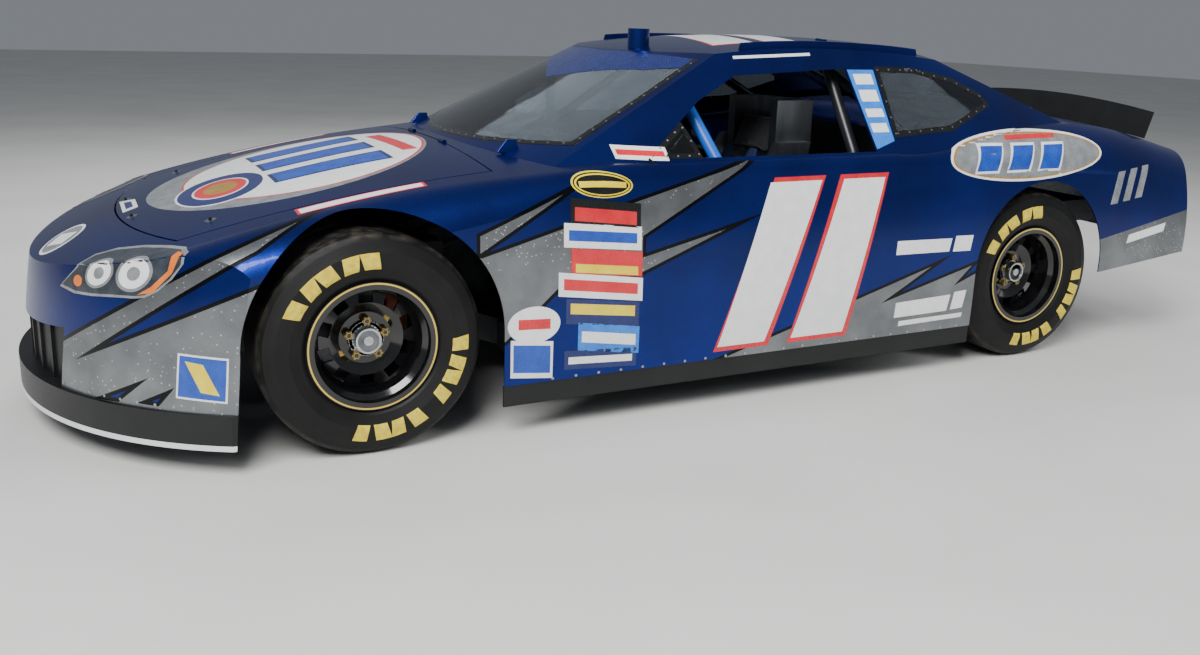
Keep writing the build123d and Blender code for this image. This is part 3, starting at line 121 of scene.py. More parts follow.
def in_box(tree, low, high):
    """1 inside a box given by two corners in mm, 0 outside."""
    low, high = Vector(low) / 1000, Vector(high) / 1000
    place = object_place(tree)
    away = add(tree, "VectorMath", {0: place, 1: (low + high) / 2}, operation="SUBTRACT").outputs[0]
    away = add(tree, "VectorMath", {0: away, 1: (high - low) / 2}, operation="DIVIDE").outputs[0]
    away = add(tree, "VectorMath", {0: away}, operation="ABSOLUTE").outputs[0]
    split = add(tree, "SeparateXYZ", {0: away}).outputs
    worst = maths(tree, "MAXIMUM", split[0], split[1])
    worst = maths(tree, "MAXIMUM", worst, split[2])
    return maths(tree, "LESS_THAN", worst, 1.0)


# Powder coat: near black, slightly pebbled, so its highlights break up a little.
cage_coat = coat("powder_coated_steel", ("#17181b", "#232529"), 120, 3, (0.3, 0.42), 0.04)
WINDOW_TUBE_LOW, WINDOW_TUBE_HIGH = (560, -262, 800), (800, -130, 1110)
recolour(cage_coat, in_box(cage_coat.node_tree, WINDOW_TUBE_LOW, WINDOW_TUBE_HIGH), "#1f63c8")
dress(cage_coat, "roll_cage")


# Floor pan and bulkheads: folded sheet steel, ribbed for stiffness and spot welded to the frame,
# then brushed with grey paint by hand.
# Brushed grey paint: matt, streaked along the car by the brush.
sheet_paint = coat("brushed_grey_paint", ("#26282b", "#3a3c40"), 90, 5, (0.5, 0.7), 0.05,
                   (1, 0.25, 1))
dress(sheet_paint, "floor_pan", "firewalls")


# Engine, gearbox and drive shaft: an iron block and an aluminium gearbox case, both sand cast and
# left as they come from the mould, on rubber mounts between the front rails.
# Cast metal: a pebbled skin with dull, uneven gloss and oil-dark patches.
cast_iron = coat("sand_cast_iron", ("#2c2e31", "#4a4d52"), 70, 3, (0.45, 0.65), 0.15, Metallic=0.7)
cast_aluminium = coat("sand_cast_aluminium", ("#6f7276", "#8f9296"), 60, 3, (0.38, 0.6), 0.12,
                      Metallic=0.9)
dress(cast_iron, "engine_block")
dress(cast_aluminium, "driveline")


# Exhaust pipe: one steel tube, bent cold and hung under the right rail, with its mouth below the
# door; the engine's heat has tinted it brown and blue.
# Heat-tinted steel: a thin oxide film that drifts from straw to blue-grey along the pipe.
exhaust_steel = coat("heat_tinted_steel", ("#6a5a4a", "#55606e"), 160, 6, (0.3, 0.5), 0.04,
                     (1, 0.5, 1), Metallic=0.9)
dress(exhaust_steel, "exhaust_pipe")


# Fuel cell: a folded steel can round a rubber bladder, painted with black hammer enamel and
# bolted by its flange under the rear rails.
# Hammer enamel: shallow round dimples that glint.
cell_enamel = coat("black_hammer_enamel", ("#141516", "#1e2022"), 50, 6, (0.28, 0.4), 0.2)
dress(cell_enamel, "fuel_cell")


# Rear springs: round spring steel wound hot, with a baked blue coat, standing between the rear
# axle and the frame.
# Baked coat: smooth, bright blue, clouded darker here and there.
spring_coat = coat("baked_blue_coat", ("#16307a", "#1f45a8"), 30, 4, (0.25, 0.4), 0.05)
dress(spring_coat, "rear_springs")


# Knuckles, hubs and brake discs: machined steel and cast iron, bolted to the arms' ball joints;
# the brake discs keep the fine rings of the lathe.
# Turned iron: bright grey, ringed by the tool on its round edges and mottled on its faces.
turned_iron = coat("turned_cast_iron", ("#66696d", "#8b8e92"), 40, 2, (0.3, 0.5), 0.06,
                   (6, 1, 1), Metallic=0.95)
dress(turned_iron, "knuckle_left", "knuckle_right")


def only(piece):
    """Makes one object the only one selected, and the active one, out of edit mode."""
    if bpy.context.mode != "OBJECT":
        bpy.ops.object.mode_set(mode="OBJECT")
    bpy.ops.object.select_all(action="DESELECT")
    piece.select_set(True)
    bpy.context.view_layer.objects.active = piece


def settle(piece):
    """Puts the object's place, turn and scale into its mesh."""
    only(piece)
    bpy.ops.object.transform_apply(location=True, rotation=True, scale=True)


def shaped(piece, kind, **settings):
    """Adds one modifier and applies it."""
    only(piece)
    modifier = piece.modifiers.new("shape", kind)
    for key, value in settings.items():
        setattr(modifier, key, value)
    bpy.ops.object.modifier_apply(modifier=modifier.name)


def block(place, size, turn=(0, 0, 0)):
    """A cube drawn out to a size, in m, at its place and turn."""
    bpy.ops.mesh.primitive_cube_add(size=1, location=place, rotation=turn)
    piece = bpy.context.object
    piece.scale = size
    settle(piece)
    return piece


def drum(place, radius, depth, sides, turn=(0, 0, 0)):
    """A cylinder, in m, at its place and turn."""
    bpy.ops.mesh.primitive_cylinder_add(vertices=sides, radius=radius, depth=depth, location=place,
                                        rotation=turn)
    piece = bpy.context.object
    settle(piece)
    return piece


def facing(axis):
    """A test for choose: the face looks along the axis 0, 1 or 2."""
    return lambda normal: normal[axis] > 0.9


def choose(piece, test):
    """Selects the faces whose normal passes a test, in edit mode afterwards."""
    only(piece)
    bpy.ops.object.mode_set(mode="EDIT")
    bpy.ops.mesh.select_mode(type="FACE")
    bpy.ops.mesh.select_all(action="DESELECT")
    bpy.ops.object.mode_set(mode="OBJECT")
    for face in piece.data.polygons:
        face.select = test(face.normal)
    bpy.ops.object.mode_set(mode="EDIT")


def stepped(piece, axis, steps):
    """Works the face that looks along an axis: a number draws it in, a vector pulls it out (m)."""
    choose(piece, facing(axis))
    for step in steps:
        if isinstance(step, float):
            bpy.ops.mesh.inset(thickness=step)
        else:
            bpy.ops.mesh.extrude_region_move(TRANSFORM_OT_translate={"value": step})
    bpy.ops.object.mode_set(mode="OBJECT")


def done(piece, name, material, body, angle=35):
    """Names, smooths and paints a finished piece, and lets it ride on its body."""
    settle(piece)
    piece.name = piece.data.name = name
    piece.data.materials.clear()
    piece.data.materials.append(material)
    bpy.ops.object.shade_smooth_by_angle(angle=math.radians(angle))
    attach(piece, body)
    return piece


def copied(piece, shift=(0, 0, 0), mirrored=False):
    """A copy with its own mesh, moved by shift (mm), mirrored to the car's right side if asked."""
    other = piece.copy()
    other.data = piece.data.copy()
    bpy.context.scene.collection.objects.link(other)
    other.parent = None
    other.matrix_world = Matrix.Identity(4)
    other.location = Vector(shift) / 1000
    if mirrored:
        other.scale.x = -1
    settle(other)
    if mirrored:
        bpy.ops.object.mode_set(mode="EDIT")
        bpy.ops.mesh.select_all(action="SELECT")
        bpy.ops.mesh.normals_make_consistent(inside=False)
        bpy.ops.object.mode_set(mode="OBJECT")
    return other


def paired(piece):
    """A piece joined with its mirror image on the car's other side."""
    return merged([piece, copied(piece, mirrored=True)])


# Brake calipers: forged aluminium, hard coated orange, clamped over the rear edge of each disc.
# Baked hard coat: orange with a dry sheen, darkened in patches by brake dust.
caliper_coat = coat("baked_hard_coat", ("#c8501c", "#e0692a"), 40, 3, (0.35, 0.5), 0.04)
WHEEL_Y = {"front": -1467, "rear": 1327}
WHEEL_Z = 352
CALIPER_SIZE, CALIPER_PLACE = (0.062, 0.055, 0.135), (0.648, -1.345, 0.40)
# a raised boss within a rim, on the side away from the disc
CALIPER_BOSS, CALIPER_ROUND = (0.012, (0, 0.008, 0)), 0.007
first = block(CALIPER_PLACE, CALIPER_SIZE)
stepped(first, 1, CALIPER_BOSS)
shaped(first, "BEVEL", width=CALIPER_ROUND, segments=3, limit_method="ANGLE")
second = copied(first, mirrored=True)
rear_first = copied(first, (0, WHEEL_Y["rear"] - WHEEL_Y["front"], 0))
rear_second = copied(rear_first, mirrored=True)
done(first, "brake_caliper_front_left", caliper_coat, "knuckle_left")
done(second, "brake_caliper_front_right", caliper_coat, "knuckle_right")
done(rear_first, "brake_caliper_rear_left", caliper_coat, "chassis")
done(rear_second, "brake_caliper_rear_right", caliper_coat, "chassis")


# Wheels: pressed steel discs welded into rolled rims and sprayed gloss black, with a yellow
# pinstripe run round the outer lip while the wheel turns.
def wheel_distance(tree, centre_y):
    """Distance from the wheel's axle line, in metres."""
    place = add(tree, "TexCoord", {}).outputs["Object"]
    centred = add(tree, "Mapping", {0: place, 1: (0, -centre_y / 1000, -WHEEL_Z / 1000),
                                    3: (0, 1, 1)}).outputs[0]
    return add(tree, "VectorMath", {0: centred}, operation="LENGTH").outputs["Value"]


def ring(tree, distance, radius, half_width):
    """1 on a ring round the axle, 0 elsewhere; sizes in mm."""
    return maths(tree, "COMPARE", distance, radius / 1000, half_width / 1000)


STRIPE_R, STRIPE_HALF, LIP_X = 200, 2.5, 0.86
for axle, centre_y in WHEEL_Y.items():
    # Sprayed gloss enamel on steel: deep black with sharp reflections and a slight orange peel.
    wheel_enamel = coat("gloss_enamel_on_steel_" + axle, ("#0a0a0b", "#121214"), 60, 5,
                        (0.12, 0.2), 0.01, Coat_Weight=0.6, Coat_Roughness=0.05)
    tree = wheel_enamel.node_tree
    distance = wheel_distance(tree, centre_y)
    lip = add(tree, "SeparateXYZ", {0: object_place(tree)}).outputs[0]
    lip = maths(tree, "GREATER_THAN", lip, LIP_X)
    stripe = ring(tree, distance, STRIPE_R, STRIPE_HALF)
    recolour(wheel_enamel, maths(tree, "MULTIPLY", stripe, lip), "#d8b93a")
    dress(wheel_enamel, "wheel_%s_left" % axle, "wheel_%s_right" % axle)


# Wheel nuts and hub caps: five hexagon nuts in yellow chromate a wheel, and a knurled aluminium
# dust cap pressed on the hub, with a sunk ring in its face.
# Zinc plate with chromate: pale gold metal, a little cloudy.
chromate = coat("zinc_plated_steel", ("#b8973e", "#d8bd66"), 12, 2, (0.25, 0.4), 0.02, Metallic=1.0)
# Turned aluminium: bright, with the fine rings that the tool leaves on its round sides.
turned_aluminium = coat("turned_aluminium", ("#b4b7ba", "#d6d8da"), 20, 2, (0.2, 0.35), 0.02,
                        (5, 1, 1), Metallic=1.0)
LUG_CIRCLE, LUG_X, LUGS = 0.060, 0.792, 5
NUT_R, NUT_DEPTH = 0.0145, 0.022
# the chamfered face, and the stud's hole in it
NUT_FACE = (0.0035, (0.0015, 0, 0), 0.002, (-0.004, 0, 0))
CAP_R, CAP_DEPTH, CAP_X = 0.041, 0.032, 0.806
# the face: a sunk ring round a low boss
CAP_FACE = (0.006, (-0.004, 0, 0), 0.02, (0.003, 0, 0))
KNURLS, KNURL_EDGE, KNURL_DEPTH = 48, 0.0009, 0.0012
ACROSS = (0, math.pi / 2, 0)


def nuts_of(centre_y):
    """The five nuts of a left wheel, joined."""
    made = []
    for turn in range(LUGS):
        angle = math.radians(90 + 360 / LUGS * turn)
        piece = drum((LUG_X, centre_y / 1000 + LUG_CIRCLE * math.cos(angle),
                      WHEEL_Z / 1000 + LUG_CIRCLE * math.sin(angle)), NUT_R, NUT_DEPTH, 6, ACROSS)
        stepped(piece, 0, NUT_FACE)
        made.append(piece)
    return merged(made)


def merged(pieces):
    """Several objects as one."""
    only(pieces[0])
    for piece in pieces:
        piece.select_set(True)
    if len(pieces) > 1:
        bpy.ops.object.join()
    return bpy.context.view_layer.objects.active


def cap_of(centre_y):
    """The dust cap of a left wheel."""
    piece = drum((CAP_X, centre_y / 1000, WHEEL_Z / 1000), CAP_R, CAP_DEPTH, KNURLS, ACROSS)

    def knurl(normal):
        """Every second side face of the cap."""
        angle = math.atan2(normal.z, normal.y)
        return abs(normal.x) < 0.1 and round(angle / (2 * math.pi / KNURLS) - 0.5) % 2 == 0

    choose(piece, knurl)
    bpy.ops.mesh.inset(thickness=KNURL_EDGE, use_individual=True)
    bpy.ops.mesh.extrude_faces_move(TRANSFORM_OT_shrink_fatten={"value": -KNURL_DEPTH})
    stepped(piece, 0, CAP_FACE)
    return piece


for axle, centre_y in WHEEL_Y.items():
    nuts = nuts_of(centre_y)
    cap = cap_of(centre_y)
    nuts_right, cap_right = copied(nuts, mirrored=True), copied(cap, mirrored=True)
    done(nuts, "wheel_nuts_%s_left" % axle, chromate, "wheel_%s_left" % axle)
    done(cap, "hub_cap_%s_left" % axle, turned_aluminium, "wheel_%s_left" % axle)
    done(nuts_right, "wheel_nuts_%s_right" % axle, chromate, "wheel_%s_right" % axle)
    done(cap_right, "hub_cap_%s_right" % axle, turned_aluminium, "wheel_%s_right" % axle)


# Tyres: moulded rubber slicks. The sidewall carries the mould's thin raised rings, the tread is
# bare and scuffed grey-brown by the paddock.
MOULD_RINGS, MOULD_RING_HALF = (226, 236, 316, 322, 328), 1.2
TREAD_FROM, TREAD_FULL = 0.335, 0.349
RING_RAISED, DUST_PER_M, DUST_MOST = 0.0008, 28.0, 0.55
for axle, centre_y in WHEEL_Y.items():
    # Moulded rubber: black with a faint bloom, a dull broad sheen and fine pores.
    rubber = coat("moulded_tyre_rubber_" + axle, ("#080808", "#121212"), 90, 3, (0.5, 0.68), 0.04,
                  Specular_IOR_Level=0.35)
    tree = rubber.node_tree
    shader = tree.nodes["Principled BSDF"]
    distance = wheel_distance(tree, centre_y)
    rings = [ring(tree, distance, radius, MOULD_RING_HALF) for radius in MOULD_RINGS]
    height = rings[0]
    for other in rings[1:]:
        height = maths(tree, "ADD", height, other)
    fine = shader.inputs["Normal"].links[0].from_socket
    raised = add(tree, "Bump", {"Height": height, "Distance": RING_RAISED, "Normal": fine})
    tree.links.new(raised.outputs[0], shader.inputs["Normal"])
    # the tread is dusted with grey-brown
    dust = add(tree, "TexNoise", {"Vector": object_place(tree), "Scale": DUST_PER_M, "Detail": 5.0})
    dust = add(tree, "MapRange", {0: dust.outputs[0], 1: 0.4, 2: 0.75, 3: 0.0, 4: DUST_MOST})
    tread = add(tree, "MapRange", {0: distance, 1: TREAD_FROM, 2: TREAD_FULL})
    dusty = maths(tree, "MULTIPLY", dust.outputs[0], tread.outputs[0])
    recolour(rubber, dusty, "#5a5348")
    dress(rubber, "tyre_%s_left" % axle, "tyre_%s_right" % axle)


# Tyre marks: flat blocks of yellow tyre paint, stencilled round the outer sidewall by hand once
# the tyre is on its rim.
def body_copy(name, *names):
    """A merged copy of CAD nodes, for films to lie on; it is taken away at the end."""
    pieces = []
    for node in names:
        other = nodes[node].copy()
        other.data = nodes[node].data.copy()
        bpy.context.scene.collection.objects.link(other)
        world = nodes[node].matrix_world.copy()
        other.parent = None
        other.matrix_world = world
        pieces.append(other)
    whole = merged(pieces)
    settle(whole)
    bpy.ops.object.mode_set(mode="EDIT")
    bpy.ops.mesh.select_all(action="SELECT")
    bpy.ops.mesh.remove_doubles(threshold=0.00001)
    bpy.ops.object.mode_set(mode="OBJECT")
    whole.name = name
    return whole


# The ways a film is looked at: its right and up directions, how far out it starts (m), how far
# it may reach (m).
LOOKS = {
    "side": ((0, 1, 0), (0, 0, 1), 1.2, 0.72),
    "top": ((1, 0, 0), (0, 1, 0), 1.6, 1.15),
    "nose": ((0.6247, 0.7809, 0), (-0.2187, 0.1749, 0.9605), 2.4, 1.0),
    "corner": ((0.62, 0.7846, 0), (0, 0, 1), 2.4, 1.0),
    "screen": ((1, 0, 0), (0, 0.8, 0.6), 1.7, 0.9),
    "backlight": ((-1, 0, 0), (0, -0.866, 0.5), 1.9, 0.8),
    "tail": ((-1, 0, 0), (0, 0, 1), 2.8, 0.7),
    "shoulder": ((0, 1, 0), (-0.6, 0, 0.8), 1.6, 0.9),
}


FILM_THICKNESS = 0.0004


def in_plane(look, point):
    """A point in mm, given in the look's own plane or in space, as metres in that plane."""
    if len(point) == 2:
        return Vector(point) / 1000
    right, up = Vector(LOOKS[look][0]), Vector(LOOKS[look][1])
    return Vector((right.dot(Vector(point)), up.dot(Vector(point)))) / 1000


def film(outlines, look, onto, lift, cell, both=False):
    """Cut film laid on a surface: each outline is filled, diced into cells (mm), and pressed on."""
    sheets = []
    for outline in outlines:
        corners = [in_plane(look, corner) for corner in outline]
        bpy.ops.mesh.primitive_circle_add(vertices=len(corners), radius=0.1, fill_type="NGON")
        sheet = bpy.context.object
        for vertex, corner in zip(sheet.data.vertices, corners):
            vertex.co = (corner.x, corner.y, 0)
        sheet.data.update()
        if sheet.data.polygons[0].normal.z < 0:
            sheet.data.flip_normals()
        sheets.append(sheet)
    sheet = merged(sheets)
    low = [min(v.co[i] for v in sheet.data.vertices) for i in (0, 1)]
    high = [max(v.co[i] for v in sheet.data.vertices) for i in (0, 1)]
    bpy.ops.object.mode_set(mode="EDIT")
    for i in (0, 1):
        count = max(1, math.ceil((high[i] - low[i]) * 1000 / cell))
        for step in range(1, count):
            cut = Vector((0, 0, 0))
            cut[i] = low[i] + (high[i] - low[i]) * step / count
            bpy.ops.mesh.select_all(action="SELECT")
            bpy.ops.mesh.bisect(plane_co=cut, plane_no=(i == 0, i == 1, 0))
    bpy.ops.mesh.select_all(action="SELECT")
    bpy.ops.mesh.quads_convert_to_tris()
    bpy.ops.object.mode_set(mode="OBJECT")
    right, up, start, reach = LOOKS[look]
    right, up = Vector(right).normalized(), Vector(up).normalized()
    out = right.cross(up)
    sheet.matrix_world = (Matrix.Translation(out * start)
                          @ Matrix((right, up, out)).transposed().to_4x4())
    shaped(sheet, "SHRINKWRAP", target=onto, wrap_method="PROJECT", wrap_mode="ABOVE_SURFACE",
           use_project_z=True, use_negative_direction=True, use_positive_direction=False,
           project_limit=reach, offset=lift / 1000)
    missed = {v.index for v in sheet.data.vertices if abs(v.co.z) < 1e-5}
    if missed:
        choose(sheet, lambda normal: False)
        bpy.ops.object.mode_set(mode="OBJECT")
        for face in sheet.data.polygons:
            face.select = any(v in missed for v in face.vertices)
        bpy.ops.object.mode_set(mode="EDIT")
        bpy.ops.mesh.delete(type="FACE")
        bpy.ops.object.mode_set(mode="OBJECT")
    settle(sheet)
    shaped(sheet, "SOLIDIFY", thickness=FILM_THICKNESS, offset=-1)
    if both:
        sheet = paired(sheet)
    return sheet


BLOCK_TOP, BLOCK_FOOT = 300, 249
# as shares of a block's pitch: the gap before it, its own length by turns, its slant
BLOCK_GAP, BLOCK_EVEN, BLOCK_ODD, BLOCK_SLANT = 0.08, 0.8, 0.72, 0.14


def blocks(centre_y, first_angle, last_angle, count):
    """Slanted blocks in a row round the wheel, between two angles in degrees from the rear."""
    made = []
    step = (last_angle - first_angle) / count
    for number in range(count):
        start = first_angle + step * (number + BLOCK_GAP)
        end = start + step * (BLOCK_ODD if number % 2 else BLOCK_EVEN)
        slant = step * BLOCK_SLANT * (1 if number % 2 else -1)
        corners = []
        for radius, near, far in ((BLOCK_TOP, start + slant, end + slant), (BLOCK_FOOT, start, end)):
            pair = [(near, radius), ((near + far) / 2, radius), (far, radius)]
            corners += pair if radius == BLOCK_TOP else pair[::-1]
        made.append([(centre_y + r * math.cos(math.radians(a)),
                      WHEEL_Z + r * math.sin(math.radians(a))) for a, r in corners])
    return made


# Tyre paint: thick matt yellow, uneven and dirtied by the rubber under it.
tyre_paint = coat("stencilled_tyre_paint", ("#c9b02a", "#e6d04a"), 14, 2, (0.55, 0.75), 0.08)
# columns: first angle, last angle, how many blocks
MARK_ROWS = ((155, 83, 5), (2, -45, 4), (-57, -106, 4))
for axle, centre_y in WHEEL_Y.items():
    sidewall = body_copy("sidewall_form", "tyre_%s_left" % axle)
    marks = film(sum([blocks(centre_y, *row) for row in MARK_ROWS], []), "side", sidewall, 1.2, 10)
    marks_right = copied(marks, mirrored=True)
    done(marks, "tyre_marks_%s_left" % axle, tyre_paint, "wheel_%s_left" % axle)
    done(marks_right, "tyre_marks_%s_right" % axle, tyre_paint, "wheel_%s_right" % axle)
    bpy.data.objects.remove(sidewall, do_unlink=True)


# Body panels: hammered and rolled sheet steel and moulded nose and tail, riveted and taped to one
# skin, then sprayed deep blue with metallic flake under clear lacquer. Silver flashes with black
# edges are masked off along the flanks, and a grey band round the tail.
def outside_of(tree, place, outline, look):
    """Signed distance (m) from a convex outline, seen in one look; below 0 inside it."""
    right, up = Vector(LOOKS[look][0]).normalized(), Vector(LOOKS[look][1]).normalized()
    corners = [in_plane(look, corner) for corner in outline]
    middle = sum(corners, Vector((0, 0))) / len(corners)
    worst = None
    for a, b in zip(corners, corners[1:] + corners[:1]):
        normal = Vector(((b - a).y, (a - b).x)).normalized()
        if normal.dot(middle - a) > 0:
            normal = -normal
        edge = add(tree, "VectorMath", {0: place, 1: right * normal.x + up * normal.y},
                   operation="DOT_PRODUCT").outputs["Value"]
        edge = maths(tree, "SUBTRACT", edge, normal.dot(a))
        worst = edge if worst is None else maths(tree, "MAXIMUM", worst, edge)
    return worst


def nearest(tree, distances, how="MINIMUM"):
    """One distance from several: MINIMUM joins the areas, MAXIMUM keeps what they share."""
    whole = distances[0]
    for other in distances[1:]:
        whole = maths(tree, how, whole, other)
    return whole


# columns: the look in which a flash is drawn, its outline, in mm
FLASHES = [
    ("side", [(-1135, 684), (-847, 801), (-1135, 629)]),
    ("side", [(-1150, 608), (-555, 771), (-555, 524), (-1150, 494)]),
    ("side", [(-1150, 618), (-860, 560), (-857, 504), (-1050, 333), (-1150, 333)]),
    ("side", [(-564, 768), (-116, 887), (-555, 648)]),
    ("side", [(-560, 573), (-224, 652), (-560, 523)]),
    ("side", [(-222, 176), (742, 445), (234, 176)]),
    ("side", [(-54, 176), (956, 433), (664, 176)]),
    ("side", [(385, 176), (1060, 428), (1060, 176)]),
    ("corner", [(-1548, 334), (-811, 740), (-872, 675), (-1548, 252)]),
    ("corner", [(-1548, 266), (-835, 579), (-773, 606), (-773, 150), (-1548, 150)]),
]
SPIKES = [
    ("corner", [(615, -2251, 200), (760, -2104, 292), (687, -2186, 204)]),
    ("corner", [(736, -2139, 211), (818, -2037, 273), (787, -2083, 210)]),
]
TAIL_BAND = [(1640, 481), (2520, 634), (2520, 250), (1640, 250)]
# Metallic lacquer: deep blue that turns lighter toward the light, clear gloss over fine flake.
# The real flake is 0.1 mm; it is drawn at 3 mm so that the render shows its sparkle.
LACQUER = dict(tones=("#081c62", "#0c2780"), cloud=400, grain=3, rough=(0.26, 0.36), relief=0.006,
               Metallic=0.85, Coat_Weight=0.3, Coat_Roughness=0.03)
body_paint = coat("metallic_blue_lacquer", **LACQUER)
tree = body_paint.node_tree
place = object_place(tree)
flash = nearest(tree, [outside_of(tree, place, outline, look) for look, outline in FLASHES])
spikes = nearest(tree, [outside_of(tree, place, outline, look) for look, outline in SPIKES])
spikes = maths(tree, "MULTIPLY", spikes, -1.0)
flash = nearest(tree, [flash, spikes], "MAXIMUM")
band = outside_of(tree, place, TAIL_BAND, "side")
EDGE_WIDTH = 0.012
edge = maths(tree, "LESS_THAN", flash, EDGE_WIDTH)
recolour(body_paint, edge, "#08090c")
# silver base with scattered white specks, painted glints of the film's metal flake, 14 mm apart and
# 5 mm across, in fewer than half the cells
GLINTS_PER_M, GLINT_SHARE, GLINT_CHANCE = 70.0, 0.17, 0.45
SILVER_DARK, SILVER_LIGHT, GLINT_WHITE, MIST_PER_M = "#76797c", "#8c8f92", "#d4d6d8", 9.0
glint_cells = add(tree, "TexVoronoi", {"Vector": place, "Scale": GLINTS_PER_M, "Randomness": 1.0})
painted_glint = maths(tree, "LESS_THAN", glint_cells.outputs[0], GLINT_SHARE)
pick = add(tree, "SeparateXYZ", {0: glint_cells.outputs[1]}).outputs[0]
pick = maths(tree, "LESS_THAN", pick, GLINT_CHANCE)
painted_glint = maths(tree, "MULTIPLY", painted_glint, pick)
mist = add(tree, "TexNoise", {"Vector": place, "Scale": MIST_PER_M, "Detail": 6.0}).outputs[0]
mist = add(tree, "MapRange", {0: mist, 1: 0.35, 2: 0.7}).outputs[0]
silver = add(tree, "Mix", {0: mist, 6: srgb(SILVER_DARK), 7: srgb(SILVER_LIGHT)}, data_type="RGBA")
silver = add(tree, "Mix", {0: painted_glint, 6: silver.outputs[2], 7: srgb(GLINT_WHITE)}, data_type="RGBA")
shader = tree.nodes["Principled BSDF"]
inside = maths(tree, "LESS_THAN", nearest(tree, [flash, band]), 0.0)
under = shader.inputs["Base Color"].links[0].from_socket
skin = add(tree, "Mix", {0: inside, 6: under, 7: silver.outputs[2]}, data_type="RGBA")
tree.links.new(skin.outputs[2], shader.inputs["Base Color"])
dress(body_paint, "front_fenders", "door_panels", "quarter_panels", "nose_cover", "tail_cover")

# The same lacquer without the flashes, on the panels above them.
plain_paint = coat("metallic_blue_lacquer_plain", **LACQUER)
dress(plain_paint, "hood", "cowl_panel", "roof_shell", "deck_lid", "roof_flap_left",
      "roof_flap_right", "roof_camera_pod")
panel_form = body_copy("panel_form", "nose_cover", "front_fenders", "door_panels",
                       "quarter_panels", "tail_cover", "roof_shell", "cowl_panel", "hood",
                       "deck_lid", "windshield", "side_windows", "rear_window", "air_dam",
                       "side_skirts", "roof_flap_left", "roof_flap_right")


# Air dam, side skirts, grille and rear spoiler: moulded black polyurethane and sheet, held by
# rivets along their upper edges; the dam's lower lip is edged in white.
# Moulded polyurethane: satin black, clouded a little by wear.
polyurethane = coat("moulded_polyurethane", ("#090a0b", "#131415"), 110, 4, (0.4, 0.6), 0.06)
dress(polyurethane, "side_skirts", "rear_spoiler")
dam_plastic = coat("moulded_polyurethane_edged", ("#090a0b", "#131415"), 110, 4, (0.35, 0.5), 0.06)
tree = dam_plastic.node_tree
LIP_TOP = 0.106
height = add(tree, "SeparateXYZ", {0: object_place(tree)}).outputs[2]
lip = maths(tree, "LESS_THAN", height, LIP_TOP)
recolour(dam_plastic, lip, "#e8e9ea")
dress(dam_plastic, "air_dam")
# Expanded steel behind slats, sprayed black: a fine diamond mesh drawn at 9 mm, as it is; its holes
# are painted near black, painted shade for the dark space behind the mesh.
mesh_black = coat("expanded_steel_sprayed_black", ("#0c0d0e", "#17181a"), 60, 4, (0.4, 0.6), 0.1)
tree = mesh_black.node_tree
MESH_PER_M, HOLE_SHARE = 110, 0.36
place = add(tree, "TexCoord", {}).outputs["Object"]
turned = add(tree, "Mapping", {0: place, 2: (0, math.radians(45), 0), 3: (MESH_PER_M,) * 3})
weave = add(tree, "TexVoronoi", {"Vector": turned.outputs[0], "Scale": 1.0, "Randomness": 0.0},
            distance="CHEBYCHEV")
painted_hole_shade = maths(tree, "LESS_THAN", weave.outputs[0], HOLE_SHARE)
# the holes: painted shade, near black where the dark space behind the mesh would show
recolour(mesh_black, painted_hole_shade, "#020202")
dress(mesh_black, "grille_screen")


# Lamps: lamp shapes printed on film and laid on the closed nose, since the racing body has none:
# dark grey glass with two round lamps and an amber corner, edged in silver.
def vinyl(colour, *tones, **sockets):
    """Cast vinyl film: smooth, thin, even colour with a soft gloss and faint squeegee ripple."""
    return coat("cast_vinyl_film_" + colour, tones, 45, 9, (0.24, 0.32), 0.003,
                Coat_Weight=0.4, Coat_Roughness=0.06, **sockets)


FILM = {
    "white": vinyl("white", "#e4e5e6", "#f1f1f1"),
    "black": vinyl("black", "#0b0b0c", "#121213"),
    "red": vinyl("red", "#c81f2b", "#dc2a33"),
    "blue": vinyl("blue", "#15409c", "#1c4fb8"),
    "navy": vinyl("navy", "#0c1c56", "#122568"),
    "bright_blue": vinyl("bright_blue", "#1c6fd0", "#2b84e2"),
    "yellow": vinyl("yellow", "#e3c61c", "#f2dc3a"),
    "gold": vinyl("gold", "#b98a2c", "#d3a748", Metallic=0.4),
    "silver": vinyl("silver", "#85888b", "#a4a7aa", Metallic=0.35),
    "lamp_grey": vinyl("lamp_grey", "#22262c", "#3a4048"),
    "amber": vinyl("amber", "#d8651c", "#ea8433"),
    "lamp_red": vinyl("lamp_red", "#8e0f16", "#b01820"),
}


FIRST_LIFT, LAYER_LIFT = 0.6, 0.35


def sticker(name, outlines, look, colour, layer=0, body="chassis", both=True, cell=26):
    """One design in one colour; the higher its layer, the further it lies off the panel (mm)."""
    piece = film(outlines, look, panel_form, FIRST_LIFT + LAYER_LIFT * layer, cell, both)
    return done(piece, name, FILM[colour], body)


def on(look, point):
    """A point in space (mm) as it shows in a look's plane (mm)."""
    return tuple(1000 * c for c in in_plane(look, point))


def oval(middle, half_width, half_height, tilt=0.0, sides=40):
    """An ellipse's outline in mm; tilt in degrees."""
    turn = Matrix.Rotation(math.radians(tilt), 2)
    steps = [2 * math.pi * i / sides for i in range(sides)]
    spots = [turn @ Vector((half_width * math.cos(a), half_height * math.sin(a))) for a in steps]
    return [(middle[0] + spot.x, middle[1] + spot.y) for spot in spots]


def inset(outline, margin):
    """A four-sided outline drawn in by a margin on every side."""
    middle = [sum(c[i] for c in outline) / len(outline) for i in (0, 1)]
    return [tuple(c[i] - math.copysign(margin, c[i] - middle[i]) for i in (0, 1)) for c in outline]


